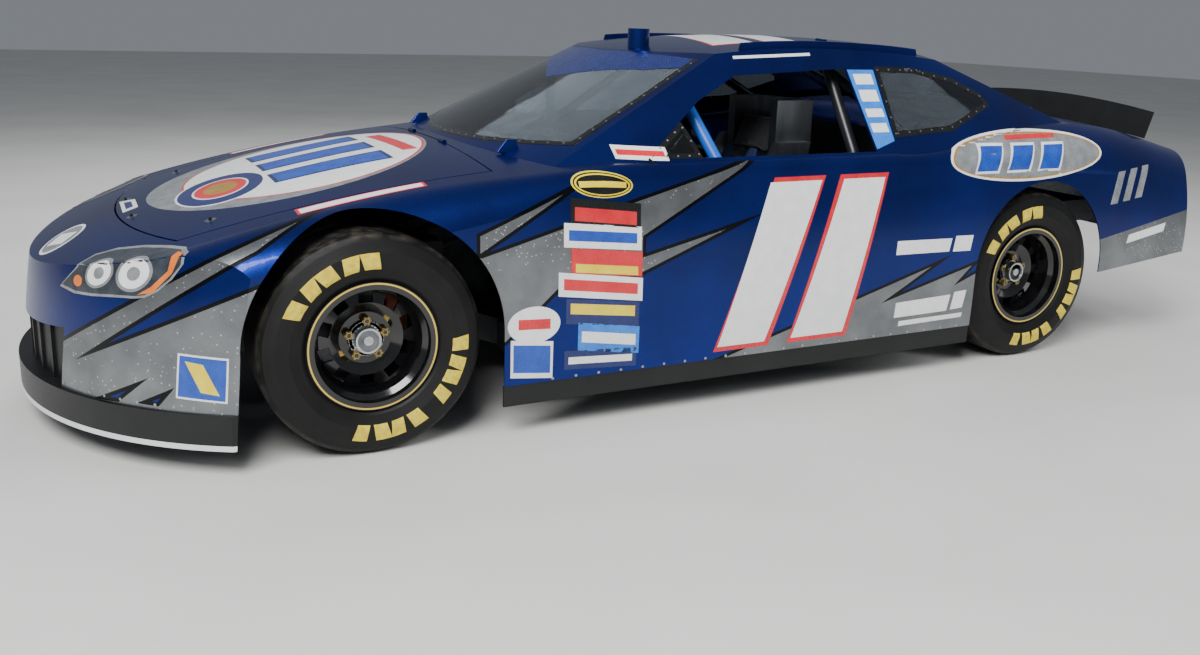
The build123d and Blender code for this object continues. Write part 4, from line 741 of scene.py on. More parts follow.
LAMP = [(431, -2316, 510), (501, -2268, 580), (478, -2212, 611), (506, -2149, 632),
        (581, -2077, 651), (673, -2009, 664), (735, -1976, 670), (793, -1975, 667),
        (809, -1992, 637), (792, -2024, 590), (768, -2060, 553), (739, -2096, 529),
        (710, -2125, 522), (656, -2174, 517), (579, -2233, 507), (507, -2279, 502)]
lamp = [on("nose", corner) for corner in LAMP]
centre = [sum(c[i] for c in lamp) / len(lamp) for i in (0, 1)]
GLASS_DRAWN_IN = (0.045, 0.1)
lamp_inner = [tuple(c[i] + (centre[i] - c[i]) * GLASS_DRAWN_IN[i] for i in (0, 1)) for c in lamp]
INNER_LAMP, OUTER_LAMP = on("nose", (590, -2204, 577)), on("nose", (692, -2112, 590))
INDICATOR, LAMP_TILT = on("nose", (517, -2265, 542)), 24
AMBER_CORNER = [(719, -2114, 535), (756, -2075, 546), (790, -2023, 607), (790, -1989, 663),
                (760, -1998, 663), (777, -2030, 611), (749, -2079, 562)]


def rounds(inner, outer):
    """The outlines of the inner and the outer round lamp, from their half widths and heights."""
    return [oval(INNER_LAMP, *inner, LAMP_TILT), oval(OUTER_LAMP, *outer, LAMP_TILT)]


# columns: name, outlines, colour, layer
for name, outlines, colour, layer in (
        ("lamp_edge", [lamp], "silver", 2), ("lamp_glass", [lamp_inner], "lamp_grey", 3),
        ("lamp_bowls", rounds((62, 42), (70, 50)), "silver", 4),
        ("lamp_reflectors", rounds((52, 34), (58, 41)), "white", 5),
        ("lamp_bulbs", rounds((22, 17), (25, 19)), "silver", 6),
        ("lamp_amber", [AMBER_CORNER, oval(INDICATOR, 20, 17)], "amber", 5)):
    sticker(name, outlines, "nose", colour, layer, cell=9)


# Nose badge, front plate, fender stripes and low corner plate: films with plain shapes only, cut
# by a plotter and squeezed on over the lacquer.
NOSE_BADGE = (-1733, 141)
LOW_PLATE = [on("corner", p) for p in ((819, -2024, 377), (904, -1894, 370), (907, -1905, 235),
                                       (821, -2037, 242))]
LOW_RIM, BLAZE_MARGIN = 6, 22
low = inset(LOW_PLATE, BLAZE_MARGIN)
blaze = [low[0], ((low[0][0] + low[1][0]) / 2, low[1][1]), low[2],
         ((low[2][0] + low[3][0]) / 2, low[3][1])]
# columns: name, outline, look, colour, layer, body, on both sides, cell
for name, outline, *rest in (
        ("nose_badge_rim", oval(NOSE_BADGE, 68, 60), "nose", "white", 0, "chassis", False, 20),
        ("nose_badge_field", oval(NOSE_BADGE, 60, 52), "nose", "silver", 1, "chassis", False, 20),
        ("nose_badge_bar", [(-1775, 158), (-1700, 170), (-1692, 124), (-1767, 112)], "nose",
         "white", 2, "chassis", False, 20),
        ("front_plate", [(-170, -2112), (60, -2112), (40, -2062), (-130, -2062)], "top", "white",
         0, "hood", False),
        ("front_plate_bar", [(-120, -2100), (20, -2100), (8, -2076), (-104, -2076)], "top", "navy",
         1, "hood", False),
        ("fender_stripe_edge", [(744, -1655), (748, -1250), (698, -1250), (680, -1655)], "top",
         "red", 0),
        ("fender_stripe", [(736, -1645), (740, -1260), (705, -1260), (689, -1645)], "top",
         "white", 1),
        ("low_plate_rim", LOW_PLATE, "corner", "white", 0, "chassis", True, 20),
        ("low_plate", inset(LOW_PLATE, LOW_RIM), "corner", "blue", 1, "chassis", True, 20),
        ("low_plate_blaze", blaze, "corner", "yellow", 2, "chassis", True, 20)):
    sticker(name, [outline], *rest)


# Hood design: one large oval of silver, white and blue bars, with a small round seal, cut from
# film and laid on the hood, which carries it when it opens.
HOOD_CELL = 34
FIELD, SEAL = (0, -1485), (131, -1800)
SEAL_HALF_W, SEAL_HALF_H, SEAL_TILT = 232, 150, -8
BAR_W, BAR_SLANT, BAR_EDGE = 170, 45, 14
hood_bars = [[(x, -1640), (x + BAR_W, -1640), (x + BAR_W + BAR_SLANT, -1240), (x + BAR_SLANT, -1240)]
             for x in (-390, -140, 110)]
# columns: name, outlines, colour, layer
for name, outlines, colour, layer in (
        ("hood_oval", [oval((0, -1540), 540, 492, sides=60)], "silver", 0),
        ("hood_oval_line", [oval(FIELD, 500, 428, sides=60)], "red", 1),
        ("hood_oval_field", [oval(FIELD, 492, 420, sides=60)], "white", 2),
        ("hood_bar_edges", hood_bars, "navy", 3),
        ("hood_bars", [inset(bar, BAR_EDGE) for bar in hood_bars], "blue", 4),
        ("hood_ribbon", [[(-230, -1200), (230, -1180), (245, -1128), (-215, -1148)]], "red", 3)):
    sticker(name, outlines, "top", colour, layer, "hood", False, HOOD_CELL)
# columns: name, colour, share of the seal's size; each lies on the one before it
for step, (name, colour, share) in enumerate((
        ("rim", "white", 1.0), ("ring", "navy", 0.95), ("line", "white", 0.63),
        ("field", "red", 0.58), ("heart", "gold", 0.38))):
    sticker("hood_seal_" + name, [oval(SEAL, SEAL_HALF_W * share, SEAL_HALF_H * share, SEAL_TILT)],
            "top", colour, 3 + step, "hood", False)


# Column of small plates behind each front wheel, and the large slanted bars on the doors: screen
# printed films, each plate with one plain stripe, the bars white with a red edge.
def plate(start, end, height):
    """A plate from its upper front corner and its lower rear corner."""
    return [start, (end[0], end[1] + height), end, (start[0], start[1] - height)]


def part_of(outline, top, bottom, margin=0.06):
    """The slice of a plate between two shares of its height, from the top down, and of its width."""
    a, b, c, d = (Vector(corner) for corner in outline)
    return [tuple(a.lerp(b, across).lerp(d.lerp(c, across), down))
            for across, down in ((margin, top), (1 - margin, top), (1 - margin, bottom),
                                 (margin, bottom))]


def touch(outline):
    """Where a side outline falls on the panels: its corners in space, in mm."""
    found = []
    for y, z in outline:
        hit, where, _, _ = panel_form.ray_cast(Vector((1.2, y / 1000, z / 1000)), Vector((-1, 0, 0)))
        found.append(tuple(1000 * c for c in where))
    return found


SERIES_OVAL, SERIES_TILT = (-704, 825), -4
for layer, (name, colour, half_w, half_h) in enumerate((
        ("series_oval", "yellow", 110, 42), ("series_oval_ring", "black", 104, 38),
        ("series_oval_line", "yellow", 99, 34), ("series_oval_cap", "black", 93, 30))):
    sticker(name, [touch(oval(SERIES_OVAL, half_w, half_h, SERIES_TILT))], "shoulder", colour,
            1 + layer, cell=9)
sticker("series_oval_bar", [touch([(-788, 837), (-620, 831), (-620, 813), (-788, 819)])],
        "shoulder", "yellow", 5, cell=9)
# columns: name, outline, ground, the stripe's colour, top and bottom as shares of the height
PLATES = [
    ("red_plate", plate((-825, 790), (-564, 676), 82), "black", ("red", 0.35, 0.9)),
    ("blue_word_plate", plate((-848, 710), (-560, 600), 80), "white", ("blue", 0.28, 0.72)),
    ("split_plate", plate((-821, 625), (-556, 510), 84), "red", ("yellow", 0.6, 0.95)),
    ("band_plate", plate((-866, 548), (-553, 425), 80), "white", ("red", 0.25, 0.72)),
    ("yellow_bar_plate", plate((-838, 458), (-564, 338), 86), "navy", ("yellow", 0.18, 0.6)),
    ("light_blue_plate", plate((-792, 372), (-560, 240), 96), "bright_blue", ("white", 0.3, 0.7)),
    ("dark_plate", plate((-841, 279), (-568, 196), 66), "navy", ("white", 0.35, 0.72)),
    ("wheel_side_plate", plate((-1031, 335), (-882, 190), 128), "white", ("blue", 0.12, 0.86)),
    ("window_line_plate", plate((-616, 939), (-436, 891), 42), "white", ("red", 0.3, 0.7)),
]
for name, outline, ground, (colour, top, bottom) in PLATES:
    sticker(name, [outline], "side", ground, 1)
    sticker(name + "_stripe", [part_of(outline, top, bottom)], "side", colour, 2)
WHITE_OVAL = (-950, 380)
sticker("wheel_side_oval", [oval(WHITE_OVAL, 92, 62)], "side", "white", 1)
sticker("wheel_side_oval_bar", [[(-1005, 402), (-893, 396), (-893, 362), (-1005, 368)]], "side",
        "red", 2)
DOOR_BARS = [[(-255, 207), (-20, 207), (205, 824), (-22, 824)],
             [(65, 207), (338, 207), (500, 824), (272, 824)]]
RED_EDGE = 17
sticker("door_bar_edges", DOOR_BARS, "side", "red", 0)
sticker("door_bars", [inset(bar, RED_EDGE) for bar in DOOR_BARS], "side", "white", 1)


# Quarter panel design, white stripes, tail bars, door post and roof bars: films like those on the
# doors, pressed round the body's shoulder where they reach it. The door post's bright blue film is a
# painted highlight, the sky's gleam on the curved pillar, under its real white plates.
EMBLEM, EMBLEM_TILT = (1238, 864), 1
quarter_bars = [[(y, 800), (y + 130, 800), (y + 168, 915), (y + 38, 915)]
                for y in (935, 1105, 1275)]
# columns: name, outlines seen from the side, colour, layer
for name, outlines, colour, layer in (
        ("quarter_oval", [oval(EMBLEM, 428, 100, EMBLEM_TILT, 60)], "white", 0),
        ("quarter_oval_gold", [oval(EMBLEM, 416, 90, EMBLEM_TILT, 60)], "gold", 1),
        ("quarter_oval_field", [oval(EMBLEM, 408, 84, EMBLEM_TILT, 60)], "silver", 2),
        ("quarter_bar_edges", quarter_bars, "white", 3),
        ("quarter_bars", [inset(bar, 10) for bar in quarter_bars], "blue", 4),
        ("quarter_ribbon", [[(1130, 925), (1400, 930), (1410, 946), (1140, 941)]], "red", 3)):
    sticker(name, [touch(outline) for outline in outlines], "shoulder", colour, layer, cell=12)
QUARTER_STRIPES = [[(560, 558), (838, 552), (826, 500), (556, 504)],
                   [(858, 560), (950, 558), (938, 496), (846, 498)],
                   [(576, 312), (856, 322), (842, 256), (572, 252)],
                   [(600, 236), (930, 240), (926, 222), (598, 216)],
                   [(876, 330), (940, 334), (926, 262), (862, 258)]]
crest_bars = [[(y, 640 + rise), (y + 44, 644 + rise), (y + 80, 784 + rise), (y + 36, 780 + rise)]
              for y, rise in ((1738, 0), (1816, 10), (1894, 20))]
POST_FRONT = 484
# columns: rear edge, foot and top of each plate
post_plates = [[(POST_FRONT, foot), (rear, foot), (rear, top), (POST_FRONT, top)]
               for rear, foot, top in ((572, 1136, 1174), (570, 1074, 1116), (568, 1018, 1048),
                                       (564, 964, 996))]
# columns: name, outlines seen from the side, colour, layer
for name, outlines, colour, layer in (
        ("quarter_stripes", QUARTER_STRIPES, "white", 0),
        ("crest_bars", crest_bars, "silver", 0),
        ("tail_stripe", [[(1868, 462), (2110, 502), (2122, 540), (1880, 500)]], "white", 0),
        # the door post's bright blue film: a painted highlight where the curved pillar mirrors the
        # sky
        ("door_post_painted_highlight", [[(474, 905), (574, 932), (590, 1190), (463, 1190)]], "bright_blue", 0),
        ("door_post_plates", post_plates, "white", 1),
        ("roof_edge_stripe", [[(-40, 1224), (310, 1240), (310, 1250), (-40, 1234)]], "white", 0)):
    sticker(name, outlines, "side", colour, layer)
ROOF_BARS = [[(424, -12), (424, 175), (-424, 385), (-424, 205)],
             [(424, 240), (424, 400), (-424, 590), (-424, 445)]]
sticker("roof_bar_edges", ROOF_BARS, "top", "red", 0, both=False, cell=34)
sticker("roof_bars", [inset(bar, RED_EDGE) for bar in ROOF_BARS], "top", "white", 1, both=False,
        cell=34)


# Tail lamps and rear plate: printed films on the closed tail cover, red with brighter round
# lamps, and a plain silver plate between them.
TAIL_LAMP_R = 32
tail_rounds = [oval(middle, TAIL_LAMP_R, TAIL_LAMP_R)
               for middle in ((-680, 698), (-590, 703), (-500, 708))]
# columns: name, outlines, colour, layer
for name, outlines, colour, layer in (
        ("tail_lamp_edge", [[(-772, 742), (-392, 760), (-392, 664), (-760, 644)]], "black", 0),
        ("tail_lamp_glass", [[(-762, 733), (-400, 750), (-400, 673), (-751, 654)]], "lamp_red", 1),
        ("tail_lamp_rounds", tail_rounds, "red", 2)):
    sticker(name, outlines, "tail", colour, layer)
sticker("rear_plate", [[(-250, 560), (250, 560), (250, 640), (-250, 640)]], "tail", "silver", 0,
        both=False)


# Windshield, side windows and rear window: cast polycarbonate sheet, hard coated, screwed on from
# outside through a black painted edge; the windshield's upper band is opaque.
# Clear polycarbonate: slightly grey, with sharp reflections and faint wiping marks.
clear_sheet = coat("cast_polycarbonate_clear", ("#66707a", "#78828a"), 200, 90, (0.012, 0.03), 0.002,
                   Transmission_Weight=1.0, IOR=1.58)
dress(clear_sheet, "windshield", "side_windows", "rear_window")


def ribbon(path, width, look, closed=False):
    """Quads beside a path, width to its left (mm); a negative width lies to its right."""
    spots = [Vector(on(look, p)) if len(p) == 3 else Vector(p) for p in path]
    quads = []
    for a, b in zip(spots, spots[1:] + (spots[:1] if closed else [])):
        side = Vector((a.y - b.y, b.x - a.x)).normalized() * width
        quads.append([tuple(a), tuple(b), tuple(b + side), tuple(a + side)])
    return quads


WINDSHIELD_EDGE = [(574, -172, 1230), (640, -440, 1075), (698, -722, 932), (660, -752, 928),
                   (540, -824, 921), (420, -878, 916), (300, -918, 912), (180, -942, 911),
                   (0, -956, 909)]
QUARTER_WINDOW = [(584, 944), (600, 1204), (790, 1200), (985, 1162), (1120, 1100), (1146, 1052),
                  (890, 962)]
VENT_PANEL = [(-512, 897), (-341, 1012), (-300, 897)]
REAR_EDGE = [(0, 1030, 1257), (545, 905, 1257), (620, 1220, 1140), (672, 1500, 1021),
             (400, 1660, 1021), (0, 1728, 1021)]
sticker("windshield_edge", ribbon(WINDSHIELD_EDGE, -24, "screen"), "screen", "black", 0)
sticker("windshield_band", [[(0, -520, 1118), (135, -462, 1146), (270, -398, 1164),
                             (447, -318, 1176), (588, -222, 1200), (574, -172, 1230),
                             (300, -255, 1230), (0, -286, 1230)]], "screen", "navy", 0)
sticker("side_glass_edge", ribbon(QUARTER_WINDOW, -20, "side", True)
        + ribbon(VENT_PANEL, -16, "side", True), "side", "black", 0, cell=20)
sticker("rear_glass_edge", ribbon(REAR_EDGE, 32, "backlight"), "backlight", "black", 0)


# Rivets, screws and hood pins: domed aluminium rivets along the dam and the skirts, aluminium
# screws round the windows, and black steel hood pins with round scuff plates.
def along(path, gap):
    """Points every gap mm on a path given in a look's plane."""
    spots = [Vector(p) for p in path]
    found, left = [], 0.0
    for a, b in zip(spots, spots[1:]):
        length = (b - a).length
        while left <= length:
            found.append(tuple(a.lerp(b, left / length)))
            left += gap
        left -= length
    return found


# the flat on a head, drawn in from its edge and raised, as shares of its radius and height
HEAD_DRAWN_IN, HEAD_RAISED = 0.45, 0.3


def heads(name, points, look, material, body="chassis", radius=5.0, height=2.2, sides=8, both=True):
    """Low domed heads, set square on the panels where a look's points fall; sizes in mm."""
    right, up, start, reach = LOOKS[look]
    right, up = Vector(right).normalized(), Vector(up).normalized()
    out = right.cross(up)
    model = drum((0, 0, 0), radius / 1000, height / 1000, sides)
    choose(model, facing(2))
    bpy.ops.mesh.inset(thickness=radius * HEAD_DRAWN_IN / 1000)
    bpy.ops.transform.translate(value=(0, 0, height * HEAD_RAISED / 1000))
    only(model)
    made = []
    for point in points:
        spot = in_plane(look, point)
        hit, where, normal, _ = panel_form.ray_cast(right * spot.x + up * spot.y + out * start,
                                                    -out, distance=reach)
        if hit:
            other = copied(model)
            other.matrix_world = (Matrix.Translation(where)
                                  @ normal.to_track_quat("Z", "Y").to_matrix().to_4x4())
            made.append(other)
    bpy.data.objects.remove(model, do_unlink=True)
    whole = merged(made)
    settle(whole)
    if both:
        whole = paired(whole)
    return done(whole, name, material, body)


# Drawn aluminium: bright small heads, dulled by wax.
rivet_metal = coat("drawn_aluminium_rivet", ("#9a9da0", "#bfc2c5"), 8, 2, (0.3, 0.45), 0.02,
                   Metallic=0.9)
# Black oxide on steel: dark, with a thin oily shine.
screw_black = coat("black_oxide_steel", ("#1b1c1e", "#2a2b2e"), 8, 2, (0.3, 0.45), 0.02,
                   Metallic=0.8)
heads("dam_rivets", along([on("corner", p) for p in ((480, -2330, 214), (640, -2235, 214),
                                                      (800, -2075, 214), (905, -1890, 214))], 62),
      "corner", rivet_metal)
heads("skirt_rivets", along([(-880, 188), (960, 188)], 85), "side", rivet_metal)
heads("side_glass_screws", along([(594, 958), (611, 1192), (786, 1189), (980, 1152), (1112, 1092),
                                  (1132, 1056), (886, 974), (600, 958)], 58)
      + along([(-490, 905), (-345, 1000), (-311, 905), (-470, 905)], 45), "side", rivet_metal,
      radius=4)
heads("windshield_screws", along([on("screen", p) for p in (
    (570, -200, 1215), (628, -440, 1080), (684, -708, 942), (652, -744, 934), (536, -813, 927),
    (416, -867, 922), (296, -907, 918), (178, -930, 917), (0, -944, 915))], 62),
      "screen", rivet_metal, radius=4.5)
heads("rear_glass_screws", along([on("backlight", p) for p in ((535, 930, 1250), (607, 1220, 1144),
                                                               (655, 1490, 1028),
                                                               (395, 1640, 1028), (0, 1706, 1028))],
                                 75), "backlight", rivet_metal, radius=4.5)
PINS = [(168, -2090), (532, -1883)]
heads("hood_pin_plates", PINS, "top", turned_aluminium, "hood", 19, 2.2, 24)
heads("hood_pins", PINS, "top", screw_black, "hood", 5, 13, 12)
# The cowl slot is a black film: painted shade standing in for the dark opening.
sticker("cowl_slot_painted_shade", [[(-150, -974), (-120, -950), (330, -893), (372, -908)]], "top", "black", 0,
        both=False, cell=12)


# Cowl fins: two small cast aluminium fins, screwed to the windshield's foot and painted with the
# body.
FIN_PLACE, FIN_SIZE = Vector((0.515, -0.890, 0.912)), (0.020, 0.085, 0.044)
# the top is drawn in to a thin ridge, further at the front than at the back
FIN_TOP_SHARE, FIN_TOP_MIDDLE = (0.3, 0.45, 1), FIN_PLACE + Vector((0, 0.028, 0.022))
fin = block(FIN_PLACE, FIN_SIZE)
choose(fin, facing(2))
bpy.ops.transform.resize(value=FIN_TOP_SHARE, center_override=FIN_TOP_MIDDLE)
only(fin)
shaped(fin, "BEVEL", width=0.004, segments=3)
done(paired(fin), "cowl_fins", plain_paint, "chassis")


# Racing seat: a folded and welded aluminium bucket with padded covers in black woven nylon, and a
# pad at the head. Each pad is its own cushion: swollen by a short cloth run, then sewn into
# channels.
# Rolled aluminium sheet: bright and plain, brushed up and down.
seat_sheet = coat("rolled_aluminium_sheet", ("#7d8083", "#a3a6a9"), 60, 2, (0.3, 0.45), 0.03,
                  (1, 1, 0.15), Metallic=1.0)
dress(seat_sheet, "racing_seat")
# Woven nylon: matt black; its threads are 0.5 mm apart and are drawn 6 mm apart to show.
nylon = coat("woven_nylon_cover", ("#141416", "#202124"), 30, 3, (0.75, 0.9), 0.05,
             Sheen_Weight=0.3)
tree = nylon.node_tree
shader = tree.nodes["Principled BSDF"]
place = add(tree, "TexCoord", {}).outputs["Object"]
# a wave of scale 1 repeats every 314 mm
WEAVE_SCALE, THREAD_RAISED = 53.0, 0.0005
warp, weft = (add(tree, "TexWave", {"Vector": place, "Scale": WEAVE_SCALE},
                  bands_direction=way).outputs[1] for way in "XZ")
threads = maths(tree, "MAXIMUM", warp, weft)
fine = shader.inputs["Normal"].links[0].from_socket
woven = add(tree, "Bump", {"Height": threads, "Distance": THREAD_RAISED, "Normal": fine})
tree.links.new(woven.outputs[0], shader.inputs["Normal"])
SEAT_X = 0.385
BACK_FOOT, BACK_UP = Vector((SEAT_X, 0.020, 0.295)), Vector((0, 0.3725, 0.928))
BACK_OUT = Vector((0, -0.928, 0.3725))
# sizes in m: the pad grows to its full size, no point of it by more than SWELL_MOST
PAD_MARGIN, PAD_FLAT_SHARE, PAD_EDGE, PAD_VOXEL = 0.012, 0.62, 0.012, 0.006
SWELL_PRESSURE, SWELL_FRAMES, SWELL_MOST = 4, 20, 0.008
SEAM_DEPTH, SEAM_HALF = 0.006, 0.006


def cushion(name, size, middle, across, along_it, channels):
    """A crowned pad, size in m, with sewn channels; middle, across and along_it place it."""
    pad = block((0, 0, 0), (size[0] - PAD_MARGIN, size[1] - PAD_MARGIN, size[2] * PAD_FLAT_SHARE))
    shaped(pad, "BEVEL", width=PAD_EDGE, segments=3)
    shaped(pad, "REMESH", mode="VOXEL", voxel_size=PAD_VOXEL)
    before = [v.co.copy() for v in pad.data.vertices]
    only(pad)
    cloth = pad.modifiers.new("swell", "CLOTH")
    cloth.settings.use_pressure = True
    cloth.settings.uniform_pressure_force = SWELL_PRESSURE
    cloth.settings.effector_weights.gravity = 0
    for step in range(1, SWELL_FRAMES + 1):
        bpy.context.scene.frame_set(step)
    bpy.ops.object.modifier_apply(modifier=cloth.name)
    bpy.context.scene.frame_set(1)
    for vertex, rest in zip(pad.data.vertices, before):
        moved = vertex.co - rest
        if moved.length > SWELL_MOST:
            vertex.co = rest + moved.normalized() * SWELL_MOST
    # the channels: a sewn line every so far, where the cover is pulled down to the foam
    for vertex in pad.data.vertices:
        if vertex.co.z > 0:
            for number in range(1, channels):
                seam = size[1] * (number / channels - 0.5)
                vertex.co.z -= SEAM_DEPTH * math.exp(-((vertex.co.y - seam) / SEAM_HALF) ** 2)
    shaped(pad, "SUBSURF", levels=1, render_levels=1)
    across, along_it = Vector(across).normalized(), Vector(along_it).normalized()
    pad.matrix_world = (Matrix.Translation(middle)
                        @ Matrix((across, along_it, across.cross(along_it))).transposed().to_4x4())
    done(pad, name, nylon, "chassis", 80)
    return pad


cushion("seat_base_cushion", (0.33, 0.36, 0.06), (SEAT_X, -0.185, 0.334), (1, 0, 0),
        (0, 1, -0.043), 4)
cushion("seat_back_cushion", (0.33, 0.50, 0.055), BACK_FOOT + BACK_UP * 0.32 + BACK_OUT * 0.028,
        (1, 0, 0), BACK_UP, 5)
cushion("seat_head_cushion", (0.24, 0.16, 0.05), BACK_FOOT + BACK_UP * 0.67 + BACK_OUT * 0.026,
        (1, 0, 0), BACK_UP, 1)


# Harness: two shoulder belts and two lap belts of woven polyester webbing, meeting in one round
# turned buckle.
# Woven webbing: dark blue, with ribs under 1 mm apart that run along the belt.
webbing = coat("woven_polyester_webbing", ("#101d4a", "#182a66"), 25, 3, (0.6, 0.8), 0.05,
               (4, 1, 1), Sheen_Weight=0.2)
WEBBING_THICKNESS = 0.003


def belt(name, path, middle_x, lean, width=0.07):
    """A flat belt along (y, z) points in metres, at middle_x, leaning sideways by lean in all."""
    rows = len(path)
    bpy.ops.mesh.primitive_grid_add(x_subdivisions=4, y_subdivisions=rows - 1, size=1)
    strap = bpy.context.object
    for vertex in strap.data.vertices:
        row = round((vertex.co.y + 0.5) * (rows - 1))
        y, z = path[row]
        vertex.co = (middle_x + lean * row / (rows - 1) + vertex.co.x * width, y, z)
    shaped(strap, "SOLIDIFY", thickness=WEBBING_THICKNESS, offset=0)
    shaped(strap, "SUBSURF", levels=2, render_levels=2)
    return done(strap, name, webbing, "chassis")


shoulder = [BACK_FOOT + BACK_UP * t + BACK_OUT * 0.066 for t in (0.60, 0.45, 0.30, 0.17, 0.10)]
shoulder = [(p.y, p.z) for p in shoulder] + [(-0.03, 0.378), (-0.09, 0.374), (-0.14, 0.373)]
SHOULDER_APART, SHOULDER_LEAN = 0.085, 0.06
belt("shoulder_belt_left", shoulder, SEAT_X + SHOULDER_APART, -SHOULDER_LEAN)
belt("shoulder_belt_right", shoulder, SEAT_X - SHOULDER_APART, SHOULDER_LEAN)
# lap belts: each runs out and back from the buckle to the seat's side, LAP_REACH and LAP_BACK m
BUCKLE_Y, LAP_TOP, LAP_INNER, LAP_REACH, LAP_BACK, LAP_WIDTH = -0.15, 0.375, 0.02, 0.145, 0.09, 0.05
LAP_DROP, LAP_CROWN = 0.006, 0.004
for side, name in ((1, "left"), (-1, "right")):
    bpy.ops.mesh.primitive_grid_add(x_subdivisions=8, y_subdivisions=2, size=1)
    strap = bpy.context.object
    for vertex in strap.data.vertices:
        out = vertex.co.x + 0.5
        vertex.co = (SEAT_X + side * (LAP_INNER + LAP_REACH * out),
                     BUCKLE_Y + LAP_BACK * out + vertex.co.y * LAP_WIDTH,
                     LAP_TOP - LAP_DROP * out + LAP_CROWN * math.sin(math.pi * out))
    shaped(strap, "SOLIDIFY", thickness=WEBBING_THICKNESS, offset=0)
    done(strap, "lap_belt_" + name, webbing, "chassis")
BUCKLE_R, BUCKLE_DEPTH, BUCKLE_Z = 0.036, 0.016, 0.386
# the release button: a raised disc with a rim
BUTTON = (0.007, (0, 0, 0.005), 0.006)
buckle = drum((SEAT_X, BUCKLE_Y, BUCKLE_Z), BUCKLE_R, BUCKLE_DEPTH, 32)
stepped(buckle, 2, BUTTON)
shaped(buckle, "BEVEL", width=0.0015, segments=2, limit_method="ANGLE")
done(buckle, "harness_buckle", turned_aluminium, "chassis")


# Dashboard: bent aluminium sheet sprayed crackle black, with round gauges pressed into it, each a
# black dial with white ticks under a turned rim.
# Crackle enamel: matt black, wrinkled 2 mm apart.
crackle = coat("wrinkled_black_enamel", ("#141517", "#1f2023"), 40, 2, (0.6, 0.8), 0.15)
dress(crackle, "dashboard")
GAUGE_PITCH, GAUGE_FIRST, GAUGE_Z, DASH_FACE = 85, 130, 775, -554
# how far rim, dial and needle stand out from the dashboard's face: the middle of each
RIM_OUT, DIAL_OUT, NEEDLE_OUT = 0.004, 0.0072, 0.0092
RIM_R, RIM_DEPTH, RIM_WELL = 0.033, 0.016, (0.004, (0, -0.006, 0))
DIAL_R, DIAL_DEPTH, DIAL_EDGE = 0.0295, 0.002, (0.002,)
TICKS, TICK_SHARE, TICK_R, TICK_HALF = 30, 0.28, 0.022, 0.0035
NEEDLE_SIZE, NEEDLE_REACH = (0.0016, 0.0012, 0.024), 0.009
# degrees: each gauge reads a little lower than the one before it
NEEDLE_FIRST, NEEDLE_STEP = 200, 50
TOWARD_DRIVER = (-math.pi / 2, 0, 0)
# Printed dial: black card with white ticks all round, 12 degrees apart.
dial = coat("printed_dial_card", ("#08080a", "#0d0d10"), 20, 2, (0.4, 0.5), 0.01)
tree = dial.node_tree
split = add(tree, "SeparateXYZ", {0: add(tree, "TexCoord", {}).outputs["Object"]}).outputs
half = GAUGE_PITCH / 2000
across = maths(tree, "SUBTRACT", split[0], GAUGE_FIRST / 1000)
across = maths(tree, "WRAP", across, half, -half)
height = maths(tree, "SUBTRACT", split[2], GAUGE_Z / 1000)
radius = add(tree, "VectorMath", {0: add(tree, "CombineXYZ", {0: across, 1: height}).outputs[0]},
             operation="LENGTH").outputs["Value"]
angle = maths(tree, "ARCTAN2", height, across)
turn = maths(tree, "MULTIPLY", angle, TICKS / (2 * math.pi))
turn = maths(tree, "FRACT", turn)
tick = maths(tree, "LESS_THAN", turn, TICK_SHARE)
edge = maths(tree, "COMPARE", radius, TICK_R, TICK_HALF)
marks = maths(tree, "MULTIPLY", tick, edge)
recolour(dial, marks, "#e6e6e2")
rims, dials, needles = [], [], []
# the fourth place in the row is the steering column's
for number in (0, 1, 2, 4, 5):
    x, y, z = (GAUGE_FIRST + GAUGE_PITCH * number) / 1000, DASH_FACE / 1000, GAUGE_Z / 1000
    rim = drum((x, y + RIM_OUT, z), RIM_R, RIM_DEPTH, 32, TOWARD_DRIVER)
    stepped(rim, 1, RIM_WELL)
    shaped(rim, "BEVEL", width=0.0012, segments=2, limit_method="ANGLE")
    rims.append(rim)
    face = drum((x, y + DIAL_OUT, z), DIAL_R, DIAL_DEPTH, 32, TOWARD_DRIVER)
    stepped(face, 1, DIAL_EDGE)
    dials.append(face)
    lean = math.radians(NEEDLE_FIRST - NEEDLE_STEP * number)
    needle = block((x + NEEDLE_REACH * math.sin(lean), y + NEEDLE_OUT,
                    z + NEEDLE_REACH * math.cos(lean)), NEEDLE_SIZE, (0, lean, 0))
    shaped(needle, "BEVEL", width=0.0004, segments=1)
    needles.append(needle)
done(merged(rims), "gauge_rims", turned_aluminium, "chassis")
done(merged(dials), "gauge_dials", dial, "chassis")
done(merged(needles), "gauge_needles", tyre_paint, "chassis")


# Steering column and wheel: steel tube, and an aluminium spider whose rim is wrapped in suede.
# Napped suede: near black, very matt; inside the rim the bare brushed aluminium shows.
dress(chassis_enamel, "steering_column")
suede = coat("napped_suede_and_aluminium", ("#17181a", "#232427"), 20, 2, (0.8, 0.95), 0.08)
WHEEL_MIDDLE, SPIDER_R = (0.385, -0.240, 0.790), 0.165
tree = suede.node_tree
hub = add(tree, "VectorMath", {0: add(tree, "TexCoord", {}).outputs["Object"], 1: WHEEL_MIDDLE},
          operation="DISTANCE").outputs["Value"]
spider = maths(tree, "LESS_THAN", hub, SPIDER_R)
recolour(suede, spider, "#7c7f83")
dress(suede, "steering_wheel")


# Floor and light of the studio: a pale sheet of painted concrete, a broad soft lamp high in front
# on the car's left, two weaker ones beside and behind the car, and an even pale sky.
bpy.data.objects.remove(panel_form, do_unlink=True)
bpy.ops.mesh.primitive_plane_add(size=60)
floor = bpy.context.object
floor.name = floor.data.name = "studio_floor"
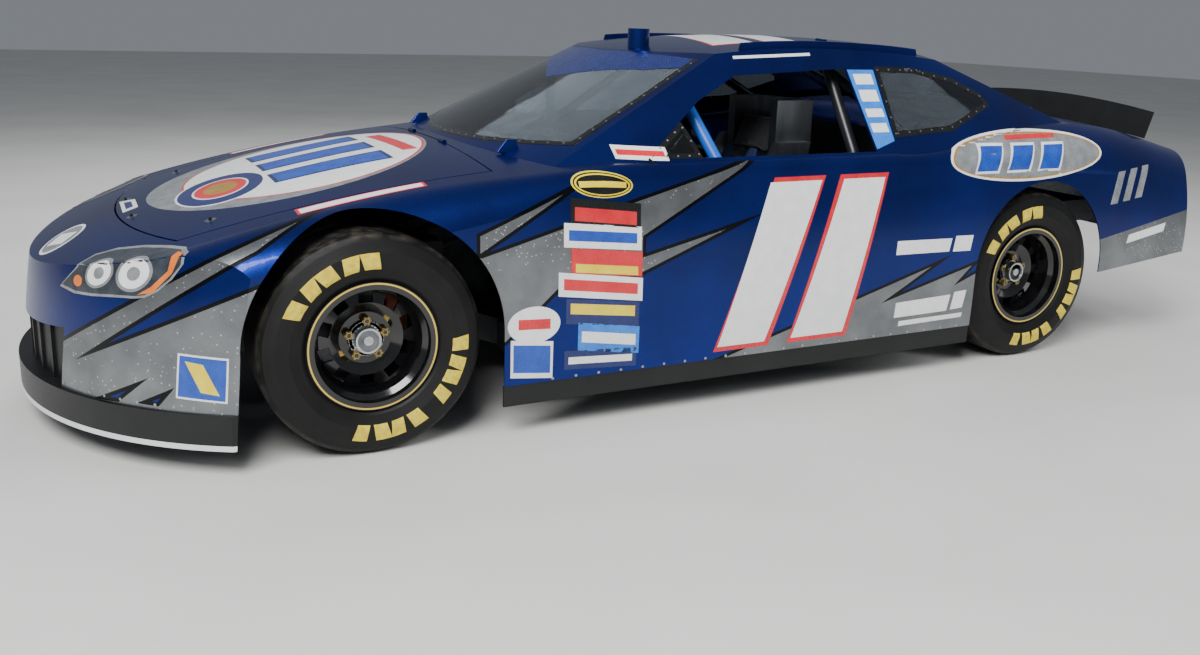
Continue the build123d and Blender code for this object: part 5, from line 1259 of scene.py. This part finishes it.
# Painted concrete: pale, matt, very faintly clouded.
floor.data.materials.append(coat("painted_concrete", ("#c9c9c6", "#d2d2cf"), 900, 12,
                                 (0.8, 0.9), 0.05))
world = bpy.data.worlds.new("studio_sky")
world.use_nodes = True
bpy.context.scene.world = world
SKY_COLOUR, SKY_STRENGTH = (0.86, 0.92, 1.0, 1.0), 0.24
background = world.node_tree.nodes["Background"].inputs
background["Color"].default_value, background["Strength"].default_value = SKY_COLOUR, SKY_STRENGTH


def soft_lamp(name, place, aim, size, power, mirrored=True):
    """A square soft lamp at place, turned to aim; metres and watts; glossy paint may mirror it."""
    bpy.ops.object.light_add(type="AREA", location=place)
    lamp = bpy.context.object
    lamp.name = name
    lamp.data.size = size
    lamp.data.energy = power
    lamp.visible_glossy = mirrored
    lamp.rotation_euler = (Vector(aim) - Vector(place)).to_track_quat("-Z", "Y").to_euler()


soft_lamp("key_lamp", (4.5, -4.5, 6.5), (0, -0.3, 0.5), 4.0, 980)
soft_lamp("fill_lamp", (4.0, 4.5, 4.5), (0, 0.5, 0.5), 4.0, 260, False)
soft_lamp("back_lamp", (-4.5, 0.5, 5.5), (0, 0, 0.6), 4.0, 310, False)

# The camera stands left of the nose, a little above the roof, and looks slightly down; its picture
# is moved up so that the car keeps its place in the frame. Focal length, frame and the row on which
# the camera looks are in pixels of that frame.
FOCAL_PX, FRAME_W_PX, FRAME_H_PX, LEVEL_ROW_PX, SENSOR = 1066, 1200, 655, 270.2, 36
look = Vector((-0.86843, 0.43868, -0.23106))
right = Vector((0.44426, 0.89540, 0.03022))
up = Vector((-0.22015, 0.07641, 0.97247))
bpy.ops.object.camera_add()
camera = bpy.context.object
camera.matrix_world = (Matrix.Translation((3.988, -2.265, 1.360))
                       @ Matrix((right, up, -look)).transposed().to_4x4())
camera.data.sensor_width = SENSOR
camera.data.lens = SENSOR * FOCAL_PX / FRAME_W_PX
camera.data.shift_y = -(FRAME_H_PX / 2 - LEVEL_ROW_PX) / FRAME_W_PX
bpy.context.scene.camera = camera
